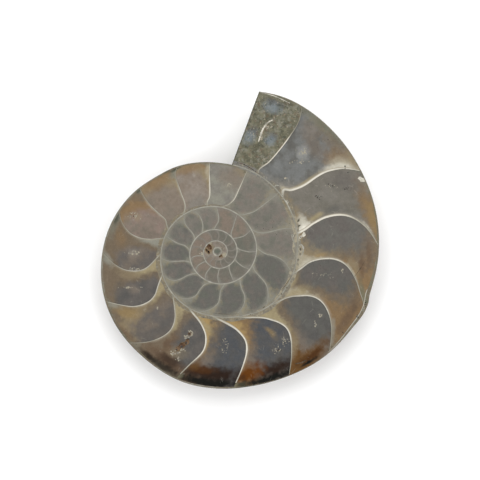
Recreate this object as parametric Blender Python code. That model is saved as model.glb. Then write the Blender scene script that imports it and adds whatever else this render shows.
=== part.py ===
"""Half of an ammonite: a coiled shell turned to stone, sawn through its middle plane and polished.

The saw cut faces up, level. Below it the coil has its natural outside: a wide last whorl with low
sickle-shaped ribs, and the earlier whorls in a small navel. The polished-off crest of the last whorl is
what the fossil rests on. It grew as one shell and turned to one stone, so it is one solid.

Angles run anticlockwise from +X about the coil's axis, and go on past 360 degrees as the shell grows.
"""

import math

import bmesh
import bpy
from mathutils import Vector

MM = 0.001

# The last whorl's outer edge on the saw cut: growth angle in degrees, distance from the coil's axis in mm.
MOUTH_ANGLE = 436.0
TURN = 360.0
OUTER_EDGE_MM = (
    (30, 21.0), (60, 21.8), (90, 22.4), (115, 23.7), (130, 24.4), (145, 25.8), (165, 27.6),
    (185, 29.2), (200, 30.4), (215, 31.3), (235, 32.2), (255, 33.6), (270, 34.1), (285, 34.6),
    (300, 35.7), (315, 37.3), (330, 38.6), (337, 39.6), (341, 39.8), (345, 39.5), (360, 40.3),
    (375, 40.9), (390, 41.3), (405, 41.8), (425, 42.2), (440, 41.3),
)

# The mouth was sawn off along a straight line that passes this far from the coil's axis.
MOUTH_CUT_DIRECTION = 69.6
MOUTH_CUT_MISS = 4.25 * MM
MOUTH_BEND = 40.0

# The even spiral that the navel follows.
SPIRAL_AT_ZERO = 20.2 * MM
GROWTH_PER_TURN = 1.95
NAVEL_SHARE = 0.24
SEAM_HEIGHT = NAVEL_SHARE * (GROWTH_PER_TURN - 1) / (1 - NAVEL_SHARE)

# The whorl's cross-section, as shares of its height from the navel seam to the outer edge.
HALF_WIDTH_SHARE = 0.26
WALL_HEIGHT = 0.12
FLANK_POWER = 1.9
EDGE_POWER = 1.5
CREST_RADIUS_SHARE = 0.42
SAW_SLOPE = 0.075
SAW_DIRECTION = 30.0
REST_DEPTH = 9.4 * MM

# Low ribs, bent like a sickle, fading out towards the navel and the outer edge.
RIBS_PER_TURN = 36
RIB_RELIEF = 0.32 * MM
RIB_SWEEP = 16.0
RIB_HOOK = 7.0

# The mesh: columns to a turn, turns in the navel, and rows below and above the next whorl's seam.
COLUMNS_PER_TURN = 144
NAVEL_TURNS = 2
NAVEL_ROWS = 5
FLANK_ROWS = 10

# Open pockets in the polished face: place from the coil's axis, half length, half width, depth and the
# direction they lie in. The three of the long pocket run into each other.
POCKETS_MM = (
    ("long_pocket_low", (-9.90, -24.05), (0.75, 0.55, 0.80), 30.0),
    ("long_pocket_middle", (-8.80, -23.25), (0.95, 0.60, 1.10), 38.0),
    ("long_pocket_high", (-7.60, -22.40), (0.75, 0.45, 0.80), 70.0),
    ("round_pocket", (-6.95, -20.40), (0.42, 0.36, 0.50), 60.0),
    ("heart_pocket_high", (-2.05, 1.30), (0.66, 0.40, 0.90), -50.0),
    ("heart_pocket_low", (-2.30, 0.05), (0.58, 0.42, 0.70), -35.0),
    ("small_pocket", (0.90, -1.05), (0.36, 0.28, 0.40), 45.0),
)

STONE_COLOUR = (0.165, 0.135, 0.105, 1.0)


def clear_scene():
    for obj in list(bpy.data.objects):
        bpy.data.objects.remove(obj)


def smooth(share):
    """A soft step from 0 to 1."""
    share = min(max(share, 0.0), 1.0)
    return share * share * (3 - 2 * share)


def outer_edge(angle):
    """Distance of the outer edge from the axis, on a smooth curve through the given points."""
    points = OUTER_EDGE_MM
    i = next(k for k in range(len(points) - 1) if angle <= points[k + 1][0])
    before, after = points[max(i - 1, 0)], points[min(i + 2, len(points) - 1)]
    start, end = points[i], points[i + 1]
    span = end[0] - start[0]
    share = (angle - start[0]) / span
    start_slope = (end[1] - before[1]) / (end[0] - before[0]) * span
    end_slope = (after[1] - start[1]) / (after[0] - start[0]) * span
    rise = smooth(share)
    bend = share * (1 - share) * (start_slope * (1 - share) - end_slope * share)
    return (start[1] * (1 - rise) + end[1] * rise + bend) * MM


def even_spiral(angle):
    return SPIRAL_AT_ZERO * GROWTH_PER_TURN ** (angle / TURN)


def seam(angle):
    """Distance from the axis of the line where a whorl's flank meets the whorl before it."""
    return NAVEL_SHARE * even_spiral(angle)


def radius_at(angle, height):
    """Distance from the axis of the flank at a share of the whorl's height."""
    low, high = seam(angle), seam(angle + TURN)
    if height <= SEAM_HEIGHT:
        return low + (high - low) * height / SEAM_HEIGHT
    share = (height - SEAM_HEIGHT) / (1 - SEAM_HEIGHT)
    return high + (outer_edge(angle) - high) * share


def crest_depth(angle):
    """How far the whorl's widest part lies below the saw cut, which isn't quite the shell's middle plane."""
    size = outer_edge(angle) if angle > MOUTH_ANGLE - TURN else even_spiral(angle)
    lean = math.cos(math.radians(angle - SAW_DIRECTION)) * CREST_RADIUS_SHARE * size
    return HALF_WIDTH_SHARE * size - SAW_SLOPE * lean


def rib(angle, height):
    """Relief of the ribs, between 0 on the grooves and RIB_RELIEF on the ridges."""
    bend = RIB_SWEEP * height * height - RIB_HOOK * math.sin(math.pi * height)
    phase = math.radians(RIBS_PER_TURN * (angle - bend))
    fade = smooth((height - WALL_HEIGHT) / 0.25) * smooth((1 - height) / 0.15)
    growth = min(1.0, crest_depth(angle) / REST_DEPTH)
    return RIB_RELIEF * growth * fade * (0.5 + 0.5 * math.cos(phase))


def flank_depth(angle, height):
    """Depth of the whorl's side, from its crest at the navel wall to nothing at the outer edge."""
    share = max(height - WALL_HEIGHT, 0.0) / (1 - WALL_HEIGHT)
    section = (1 - share**FLANK_POWER) ** (1 / EDGE_POWER)
    return crest_depth(angle) * section + rib(angle, height)


def depth_at(angle, height):
    """Depth below the saw cut, with the navel wall and the polished-off crest."""
    depth = flank_depth(angle, height)
    if height < WALL_HEIGHT:
        foot = flank_depth(angle - TURN, SEAM_HEIGHT)
        rise = math.sin(math.pi / 2 * height / WALL_HEIGHT)
        depth = foot + (depth - foot) * rise
    return min(depth, REST_DEPTH)


def mouth_bend(angle, height, radius):
    """Degrees that a point is turned by, so that the columns at the mouth lie along its straight cut."""
    if angle > MOUTH_ANGLE - MOUTH_BEND:
        share = smooth(1 - (MOUTH_ANGLE - angle) / MOUTH_BEND)
    else:
        first = MOUTH_ANGLE - TURN
        share = smooth(1 - abs(angle - first) / MOUTH_BEND) * smooth(height / SEAM_HEIGHT)
    if share == 0.0:
        return 0.0
    cut = MOUTH_CUT_DIRECTION + math.degrees(math.asin(MOUTH_CUT_MISS / radius))
    return share * (cut - (MOUTH_ANGLE - TURN))


def flank_point(angle, height):
    radius = radius_at(angle, height)
    turned = math.radians(angle + mouth_bend(angle, height, radius))
    return Vector((radius * math.cos(turned), radius * math.sin(turned), -depth_at(angle, height)))


def row_height(row):
    """Share of the whorl's height at a row: even up to the next whorl's seam, then closer near the edge."""
    if row <= NAVEL_ROWS:
        return SEAM_HEIGHT * row / NAVEL_ROWS
    share = (row - NAVEL_ROWS) / FLANK_ROWS
    return SEAM_HEIGHT + (1 - SEAM_HEIGHT) * math.sin(math.pi / 2 * share)


def add_whorl(bm, first_angle, turns, rows):
    """Wraps a grid of faces round the coil, from the seam outwards."""
    columns = COLUMNS_PER_TURN * turns
    made = bmesh.ops.create_grid(bm, x_segments=columns, y_segments=rows, size=1.0)
    for vertex in made["verts"]:
        column = round((vertex.co.x + 1) / 2 * columns)
        row = round((vertex.co.y + 1) / 2 * rows)
        vertex.co = flank_point(first_angle + TURN * column / COLUMNS_PER_TURN, row_height(row))


def nearest(bm, place):
    return min(bm.verts, key=lambda vertex: (vertex.co - place).length_squared)


def close_face(bm, edges):
    return bmesh.ops.edgeloop_fill(bm, edges=edges)["faces"]


def close_openings(bm):
    """Closes the flank with the polished face, the sawn mouth and the coil's first chamber."""
    first = MOUTH_ANGLE - TURN
    rim = [edge for edge in bm.edges if edge.is_boundary]
    level = [edge for edge in rim if all(abs(vertex.co.z) < 0.001 * MM for vertex in edge.verts)]
    reach = seam(first - NAVEL_TURNS * TURN + TURN) * 1.02
    start = [edge for edge in rim if all(vertex.co.xy.length < reach for vertex in edge.verts)]
    mouth = [edge for edge in rim if edge not in level and edge not in start]
    ends = [nearest(bm, flank_point(angle, 1.0)) for angle in (first, MOUTH_ANGLE)]
    lip = bm.edges.new(ends)
    close_face(bm, level + [lip])
    close_face(bm, mouth + [lip])
    core = close_face(bm, start)
    bmesh.ops.poke(bm, faces=core)


def make_shell(collection):
    mesh = bpy.data.meshes.new("ammonite_half")
    bm = bmesh.new()
    first = MOUTH_ANGLE - TURN
    add_whorl(bm, first, 1, NAVEL_ROWS + FLANK_ROWS)
    add_whorl(bm, first - NAVEL_TURNS * TURN, NAVEL_TURNS, NAVEL_ROWS)
    bmesh.ops.remove_doubles(bm, verts=bm.verts, dist=0.002 * MM)
    close_openings(bm)
    bmesh.ops.recalc_face_normals(bm, faces=bm.faces)
    bm.to_mesh(mesh)
    bm.free()
    shell = bpy.data.objects.new("ammonite_half", mesh)
    collection.objects.link(shell)
    mesh.shade_smooth()
    mesh.set_sharp_from_angle(angle=math.radians(40))
    return shell


def make_pocket_cutter(collection, name, place, half_sizes, direction):
    bm = bmesh.new()
    bmesh.ops.create_icosphere(bm, subdivisions=2, radius=1.0)
    bmesh.ops.scale(bm, vec=Vector(half_sizes) * MM, verts=bm.verts)
    mesh = bpy.data.meshes.new(name)
    bm.to_mesh(mesh)
    bm.free()
    cutter = bpy.data.objects.new(name, mesh)
    cutter.location = (place[0] * MM, place[1] * MM, 0.0)
    cutter.rotation_euler.z = math.radians(direction)
    cutter.hide_render = True
    cutter.display_type = "WIRE"
    collection.objects.link(cutter)
    return cutter


def cut_pockets(shell, collection):
    for name, place, half_sizes, direction in POCKETS_MM:
        cutter = make_pocket_cutter(collection, name, place, half_sizes, direction)
        cutter.parent = shell
        cut = shell.modifiers.new(name, "BOOLEAN")
        cut.operation = "DIFFERENCE"
        cut.object = cutter


def stone():
    material = bpy.data.materials.new("banded_calcite")
    material.use_nodes = True
    surface = material.node_tree.nodes["Principled BSDF"]
    surface.inputs["Base Color"].default_value = STONE_COLOUR
    surface.inputs["Roughness"].default_value = 0.25
    surface.inputs["Metallic"].default_value = 0.0
    return material


def stand_at_origin(shell):
    """Moves the fossil so that the origin is under the middle of its box, on the surface it rests on."""
    corners = [Vector(corner) for corner in shell.bound_box]
    low = Vector(map(min, *corners))
    high = Vector(map(max, *corners))
    shell.location = (-(low.x + high.x) / 2, -(low.y + high.y) / 2, -low.z)


def main():
    clear_scene()
    scene = bpy.context.scene
    fossil = bpy.data.collections.new("ammonite_fossil")
    cutters = bpy.data.collections.new("pocket_cutters")
    scene.collection.children.link(fossil)
    scene.collection.children.link(cutters)
    shell = make_shell(fossil)
    shell.data.materials.append(stone())
    cut_pockets(shell, cutters)
    stand_at_origin(shell)


main()
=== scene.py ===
"""The looks of a cut and polished ammonite half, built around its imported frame.

The face that looks up is a mosaic, as in the real stone: a slab of calcite fills each chamber, thin strips of
old shell stand between them, and a spiral wall parts the whorls. Below it lies the natural, ribbed outside.
Angles are in degrees, anticlockwise from +X about the coil's axis, and go on past 360 as the shell grows.
A share is 0 at a whorl's inner wall and 1 at its outer wall.
"""

import logging
import math
import random
from collections.abc import Callable, Sequence
from dataclasses import dataclass, field
from enum import Enum

import bmesh
import bpy
from mathutils import Matrix, Vector, noise
from mathutils.kdtree import KDTree


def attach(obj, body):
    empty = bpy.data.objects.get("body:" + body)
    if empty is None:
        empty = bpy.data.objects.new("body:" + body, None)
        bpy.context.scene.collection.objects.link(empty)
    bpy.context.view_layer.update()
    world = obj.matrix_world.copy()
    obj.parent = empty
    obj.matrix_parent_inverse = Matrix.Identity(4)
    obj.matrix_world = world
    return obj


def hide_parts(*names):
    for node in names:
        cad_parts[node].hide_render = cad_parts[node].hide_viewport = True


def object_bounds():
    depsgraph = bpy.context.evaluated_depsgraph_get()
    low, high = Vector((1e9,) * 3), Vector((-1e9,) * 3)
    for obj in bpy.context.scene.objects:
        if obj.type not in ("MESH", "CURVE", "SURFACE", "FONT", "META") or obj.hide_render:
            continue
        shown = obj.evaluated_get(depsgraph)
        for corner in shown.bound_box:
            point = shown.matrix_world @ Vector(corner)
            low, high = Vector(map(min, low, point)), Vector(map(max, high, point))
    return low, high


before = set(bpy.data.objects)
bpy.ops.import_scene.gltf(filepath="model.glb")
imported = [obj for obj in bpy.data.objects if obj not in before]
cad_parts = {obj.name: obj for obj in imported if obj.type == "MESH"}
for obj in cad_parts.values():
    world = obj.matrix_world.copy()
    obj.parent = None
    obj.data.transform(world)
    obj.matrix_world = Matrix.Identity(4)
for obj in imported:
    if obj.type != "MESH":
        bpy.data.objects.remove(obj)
CAD_BOX = [list(corner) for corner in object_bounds()]

logging.basicConfig(level=logging.INFO, format="%(message)s")
LOG = logging.getLogger("ammonite")

MM = 0.001
TURN = 360.0
NODE = "ammonite_half"
TOP = CAD_BOX[1][2] - 0.05 * MM  # the sawn face, under the strips and grains that stand a hair over it
RIBBON_FACES = 4  # across a strip

Pair = tuple[float, float]
Points = Sequence[Pair]  # places along a line and the values there
Curve = Callable[[float], float]  # a value at each place
Piece = bpy.types.Object
Material = bpy.types.Material


def smooth(value: float) -> float:
    """A soft step from 0 to 1."""
    value = min(max(value, 0.0), 1.0)
    return value * value * (3 - 2 * value)


def curve_through(points: Points, at: float) -> float:
    """A smooth curve through points.

    Args:
        points: Places and values, in rising order of place.
        at: The place to read.

    Returns:
        The curve's value there, held level past the first and last points.
    """
    at = min(max(at, points[0][0]), points[-1][0])
    i = next(k for k in range(len(points) - 1) if at <= points[k + 1][0])
    before, after = points[max(i - 1, 0)], points[min(i + 2, len(points) - 1)]
    start, end = points[i], points[i + 1]
    span = end[0] - start[0]
    share = (at - start[0]) / span
    start_slope = (end[1] - before[1]) / (end[0] - before[0]) * span
    end_slope = (after[1] - start[1]) / (after[0] - start[0]) * span
    rise = smooth(share)
    bend = share * (1 - share) * (start_slope * (1 - share) - end_slope * share)
    return start[1] * (1 - rise) + end[1] * rise + bend


def reader(points: Points, unit: float = 1.0) -> Curve:
    """The curve through points as a function of place, in a unit."""
    return lambda at: curve_through(points, at) * unit


# --- the shell's form


@dataclass(frozen=True)
class Coil:
    """The spiral that the walls between the whorls follow on the sawn face."""

    axis_x: float = -5.61 * MM
    axis_y: float = -3.05 * MM
    first_angle: float = -1112.0
    mouth_angle: float = 436.0
    mouth_cut_direction: float = 69.6
    mouth_cut_miss: float = 4.25 * MM
    wall_mm: tuple[Pair, ...] = (
        (-1080, 2.4), (-990, 2.8), (-900, 3.5), (-840, 3.8), (-780, 4.25), (-720, 4.85), (-660, 5.25),
        (-600, 6.0), (-540, 6.9), (-480, 7.45), (-420, 8.4), (-360, 9.7), (-320, 10.25), (-280, 11.15),
        (-250, 11.85), (-225, 12.75), (-200, 13.6), (-180, 14.1), (-150, 15.0), (-120, 15.6), (-95, 16.0),
        (-70, 17.0), (-45, 18.65), (-20, 19.5), (0, 20.0), (30, 21.0), (60, 21.8), (90, 22.4), (115, 23.7),
        (130, 24.4), (145, 25.8), (165, 27.6), (185, 29.2), (200, 30.4), (215, 31.3), (235, 32.2),
        (255, 33.6), (270, 34.1), (285, 34.6), (300, 35.7), (315, 37.3), (330, 38.6), (337, 39.6),
        (341, 39.8), (345, 39.5), (360, 40.3), (375, 40.9), (390, 41.3), (405, 41.8), (425, 42.2),
        (440, 41.15),
    )
    snug: float = 0.9999

    def wall(self, angle: float) -> float:
        """Distance from the axis of the wall that closes a whorl on its outer side."""
        first, radius = self.wall_mm[0]
        if angle < first:
            return radius * MM * 2 ** ((angle - first) / TURN)
        return curve_through(self.wall_mm, angle) * MM * self.snug

    def share(self, angle: float, radius: float) -> float:
        """How far out a place lies between its whorl's inner and outer wall."""
        inner = self.wall(angle - TURN)
        return math.log(radius / inner) / math.log(self.wall(angle) / inner)

    def radius(self, angle: float, share: float) -> float:
        """Distance from the axis of a share of the whorl at an angle."""
        return self.wall(angle - TURN) ** (1 - share) * self.wall(angle) ** share

    def polar(self, angle: float, radius: float, height: float = 0.0) -> Vector:
        """The point at an angle and a distance from the axis, at a height over the sawn face."""
        turned = math.radians(angle)
        x = self.axis_x + radius * math.cos(turned)
        y = self.axis_y + radius * math.sin(turned)
        return Vector((x, y, TOP + height))

    def place(self, angle: float, share: float, height: float = 0.0) -> Vector:
        """The point at an angle and a share of its whorl, at a height over the sawn face."""
        return self.polar(angle, self.radius(angle, share), height)

    def rim(self, x: float, y: float) -> float:
        """Distance from the axis of the rim, in the direction of a point given from the axis."""
        angle = math.degrees(math.atan2(y, x)) % TURN
        return self.wall(angle if angle > self.mouth_angle - TURN else angle + TURN)

    def mouth(self, share: float) -> float:
        """The angle at which the straight cut across the mouth crosses a share of the whorl."""
        angle = self.mouth_angle
        for _ in range(4):
            radius = self.radius(angle, share)
            angle = self.mouth_cut_direction + TURN + math.degrees(math.asin(self.mouth_cut_miss / radius))
        return angle


COIL = Coil()


@dataclass(frozen=True)
class Septum:
    """A wall between two chambers, as angles and distances from the axis in mm, from tip to foot.

    glow is its brightness at its foot, in its middle and at its tip. reach is the share at which it ends.
    """

    points_mm: tuple[Pair, ...]
    width_mm: float = 0.24
    glow: tuple[float, float, float] = (0.15, 0.2, 0.15)
    reach: float = 0.988

    def curve(self) -> list[Pair]:
        """The wall as shares and angles, in rising order of share, from wall to wall."""
        shares = sorted((COIL.share(angle, radius * MM), angle) for angle, radius in self.points_mm)
        shares[0] = (0.0, shares[0][1])
        shares[-1] = (1.0, shares[-1][1])
        return shares

    def line(self) -> Curve:
        """The angle of the wall at each share."""
        return reader(self.curve())


THIRD_WHORL_SEPTA = tuple(Septum(points) for points in (
    ((-523, 7.4), (-528, 6.5), (-530, 5.5), (-527.5, 4.25), (-523, 3.75)),
    ((-499, 7.5), (-504, 6.5), (-506, 5.6), (-504.5, 4.25), (-501, 3.75)),
    ((-473, 7.75), (-477.5, 6.5), (-478, 5.5), (-475, 4.25), (-472, 3.9)),
    ((-447, 7.75), (-449.5, 6.6), (-449, 5.75), (-446, 4.6), (-441, 4.25)),
    ((-421, 8.1), (-420, 7.1), (-418, 6.0), (-413, 4.75), (-407, 4.4)),
    ((-388, 8.75), (-389.5, 7.5), (-389, 6.6), (-386, 5.25), (-381, 4.9)),
    ((-359, 9.5), (-359.5, 8.25), (-358, 7.0), (-353, 5.6), (-347, 5.1)),
    ((-326, 10.0), (-328, 8.5), (-328, 7.5), (-324, 6.1), (-318, 5.5)),
    ((-297, 10.25), (-299, 9.0), (-301, 7.75), (-307, 5.6), (-315, 5.25)),
))
SECOND_WHORL_SEPTA = tuple(Septum(points) for points in (
    ((-269, 10.75), (-271, 9.5), (-272, 8.25), (-270.5, 7.4), (-267, 6.75), (-261, 6.1)),
    ((-240, 11.5), (-243.5, 10.4), (-243.5, 9.0), (-242, 7.9), (-238, 7.0), (-231, 6.25)),
    ((-229, 12.0), (-222, 11.1), (-219, 9.1), (-217, 7.75), (-214, 7.1), (-209, 6.6)),
    ((-198, 13.0), (-194.5, 11.5), (-192.5, 10.0), (-191.5, 8.5), (-189, 7.75), (-183, 7.1)),
    ((-174, 14.0), (-170, 12.5), (-167.5, 10.5), (-165.5, 8.75), (-162.5, 7.8), (-159, 7.25)),
    ((-157, 14.5), (-149, 13.5), (-144.5, 11.75), (-142.5, 9.75), (-140, 8.5), (-134, 7.6)),
    ((-134, 15.25), (-124, 14.0), (-117, 12.25), (-115, 10.25), (-112.5, 8.9), (-104, 7.6)),
    ((-108, 15.5), (-98, 14.5), (-89.5, 12.75), (-87, 11.0), (-85, 9.5), (-77, 8.1)),
    ((-76, 16.25), (-65, 15.0), (-58.5, 13.0), (-56.5, 11.0), (-54, 9.75), (-50, 8.9)),
    ((-49, 17.75), (-40, 16.5), (-33.5, 14.5), (-30, 12.25), (-26, 10.25), (-20, 9.4)),
    ((-17, 18.75), (-8.5, 17.0), (-4, 14.5), (-2, 12.1), (2, 10.75), (7, 9.9)),
    ((17, 19.5), (20, 17.0), (21, 14.5), (23, 12.4), (28, 10.9), (35, 10.1)),
    ((44, 19.5), (46, 16.25), (48, 13.75), (52, 12.25), (58, 11.0), (64, 10.4)),
))
INMOST_FIRST, INMOST_STEP = -873.5, 26.5
INMOST_SHAPE = ((1.0, 6.0), (0.75, 1.5), (0.5, 0.0), (0.2, 2.5), (0.0, 7.0))
INMOST_SEPTA = tuple(
    Septum(tuple((a + lean, COIL.radius(a + lean, share) / MM) for share, lean in INMOST_SHAPE), 0.22)
    for a in (INMOST_FIRST + INMOST_STEP * i for i in range(13))
)
LAST_WHORL_SEPTA = (
    Septum(
        ((70, 21.5), (70.5, 19.5), (71.3, 16.5), (72.5, 14.0), (74.5, 13.0), (78, 12.1), (86, 11.25)),
        0.26, (0.15, 0.6, 0.35),
    ),
    Septum(
        ((95, 21.6), (96, 19.5), (96.6, 17.2), (97.2, 15.5), (98.5, 13.9), (101.5, 12.9), (103, 12.0)),
        0.32, (0.25, 0.75, 0.4),
    ),
    Septum(
        ((115, 23.5), (118.5, 22.2), (120, 20.0), (122, 17.0), (123.5, 15.0), (126.5, 13.7), (133, 12.6)),
        0.32, (0.2, 0.4, 0.05),
    ),
    Septum(
        ((140.5, 24.5), (143, 23.0), (145.5, 20.0), (147, 17.0), (148, 15.4), (151.5, 14.5), (156, 13.9)),
        0.32, (0.2, 0.25, 0.1),
    ),
    Septum(
        ((157, 26.2), (163, 24.9), (168, 22.1), (169.7, 19.2), (168.9, 16.8), (167, 15.0), (165.3, 13.9)),
        0.28, (0.2, 0.35, 0.1),
    ),
    Septum(
        ((180, 27.6), (187, 25.8), (191.2, 23.2), (193.3, 20.0), (192, 17.8), (187.5, 15.9), (181.5, 14.4)),
        0.28, (0.3, 0.4, 0.2),
    ),
    Septum(
        ((203.5, 29.9), (208, 27.9), (213.2, 24.8), (215.7, 21.5), (214.3, 18.9), (209, 16.9), (202, 15.4)),
        0.3, (0.4, 0.6, 0.4),
    ),
    Septum(
        ((225.5, 31.5), (232, 28.5), (237.3, 24.9), (239, 22.0), (236.5, 19.2), (230.5, 17.0), (223, 15.8)),
        0.3, (0.25, 0.45, 0.2),
    ),
    Septum(
        ((251.5, 31.8), (256, 29.0), (261.5, 25.2), (262.6, 22.5), (260.7, 20.0), (254.5, 17.6), (243, 16.0)),
        0.38, (0.5, 0.85, 0.3), 0.935,
    ),
    Septum(
        ((276.5, 32.5), (283, 28.8), (287, 25.2), (287.3, 22.5), (283, 19.5), (275.5, 17.5), (266, 16.1)),
        0.46, (0.5, 0.95, 0.6), 0.945,
    ),
    Septum(
        ((300, 35.0), (306, 31.5), (311.3, 27.5), (312.3, 24.8), (309, 21.8), (302, 19.2), (287, 17.2)),
        0.38, (0.5, 0.7, 0.15),
    ),
    Septum(
        ((318, 36.8), (328, 33.5), (333.8, 29.8), (335.2, 26.5), (332.5, 23.5), (326, 20.5), (315, 18.8)),
        0.36, (0.3, 0.65, 0.15),
    ),
    Septum(
        ((338, 38.0), (349, 35.2), (355.3, 31.5), (356.8, 27.5), (354, 23.2), (348.5, 21.0), (344, 20.2)),
        0.42, (0.5, 0.65, 0.2),
    ),
    Septum(
        ((362, 39.5), (370, 37.5), (376, 33.5), (378, 28.8), (376.8, 25.0), (374.5, 22.2), (373.5, 20.9)),
        0.6, (0.85, 0.95, 0.3),
    ),
    Septum(
        ((389.5, 40.8), (394, 37.6), (397, 33.0), (398, 27.0), (400.5, 24.0), (403.5, 22.8), (401, 21.4)),
        0.66, (0.5, 1.0, 0.6),
    ),
    Septum(
        ((420, 41.2), (418.3, 38.8), (418, 35.8), (418.8, 30.0), (420.5, 25.8), (423.3, 23.2), (422.5, 22.1)),
        0.3, (0.25, 0.95, -0.3),
    ),
)


@dataclass(frozen=True)
class Flank:
    """The natural outside of the shell, below the sawn face: its section, ribs, navel and resting flats."""

    spiral_at_zero: float = 20.2 * MM
    growth_per_turn: float = 1.95
    navel_share: float = 0.24
    half_width_share: float = 0.26
    wall_height: float = 0.12
    flank_power: float = 1.9
    edge_power: float = 1.5
    crest_radius_share: float = 0.42
    saw_slope: float = 0.075
    saw_direction: float = 30.0
    ribs_per_turn: int = 36
    rib_relief: float = 0.32 * MM
    rib_sweep: float = 16.0
    rib_hook: float = 7.0
    mouth_bend: float = 40.0

    @property
    def first(self) -> float:
        """The angle at which the last whorl begins."""
        return COIL.mouth_angle - TURN

    @property
    def seam_height(self) -> float:
        """Share of a whorl's height at which the next whorl's seam lies on it."""
        return self.navel_share * (self.growth_per_turn - 1) / (1 - self.navel_share)

    def spiral(self, angle: float) -> float:
        """The even spiral that the navel follows."""
        return self.spiral_at_zero * self.growth_per_turn ** (angle / TURN)

    def seam(self, angle: float) -> float:
        """Distance from the axis of the line where a flank meets the whorl before it."""
        return self.navel_share * self.spiral(angle)

    def radius(self, angle: float, height: float) -> float:
        """Distance from the axis of the flank at a share of the whorl's height."""
        low, high = self.seam(angle), self.seam(angle + TURN)
        if height <= self.seam_height:
            return low + (high - low) * height / self.seam_height
        share = (height - self.seam_height) / (1 - self.seam_height)
        return high + (COIL.wall(angle) - high) * share

    def crest(self, angle: float) -> float:
        """How far the whorl's widest part lies below the saw cut."""
        size = COIL.wall(angle) if angle > self.first else self.spiral(angle)
        lean = math.cos(math.radians(angle - self.saw_direction)) * self.crest_radius_share * size
        return self.half_width_share * size - self.saw_slope * lean

    def rib(self, angle: float, height: float) -> float:
        """Relief of the sickle-shaped ribs."""
        bend = self.rib_sweep * height * height - self.rib_hook * math.sin(math.pi * height)
        phase = math.radians(self.ribs_per_turn * (angle - bend))
        fade = smooth((height - self.wall_height) / 0.25) * smooth((1 - height) / 0.15)
        growth = min(1.0, self.crest(angle) / TOP)
        return self.rib_relief * growth * fade * (0.5 + 0.5 * math.cos(phase))

    def side(self, angle: float, height: float) -> float:
        """Depth of the whorl's side, from its crest to nothing at the outer edge."""
        share = max(height - self.wall_height, 0.0) / (1 - self.wall_height)
        section = (1 - min(share, 1.0) ** self.flank_power) ** (1 / self.edge_power)
        return self.crest(angle) * section + self.rib(angle, height)

    def depth(self, angle: float, height: float) -> float:
        """Depth below the saw cut, with the navel wall and the ground-off crest."""
        depth = self.side(angle, height)
        if height < self.wall_height:
            foot = self.side(angle - TURN, self.seam_height)
            depth = foot + (depth - foot) * math.sin(math.pi / 2 * height / self.wall_height)
        return min(depth, TOP)

    def mouth_turn(self, angle: float, height: float, radius: float) -> float:
        """Degrees that a point is turned by, so that the mouth is one straight cut."""
        if angle > COIL.mouth_angle - self.mouth_bend:
            share = smooth(1 - (COIL.mouth_angle - angle) / self.mouth_bend)
        else:
            share = smooth(1 - abs(angle - self.first) / self.mouth_bend) * smooth(height / self.seam_height)
        if share == 0.0:
            return 0.0
        cut = COIL.mouth_cut_direction + math.degrees(math.asin(COIL.mouth_cut_miss / radius))
        return share * (cut - self.first)

    def point(self, angle: float, height: float) -> Vector:
        """The point of the flank at an angle and a share of the whorl's height."""
        radius = self.radius(angle, height)
        turned = angle + self.mouth_turn(angle, height, radius)
        return COIL.polar(turned, radius, -self.depth(angle, height))


FLANK = Flank()


# --- the bench


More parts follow.
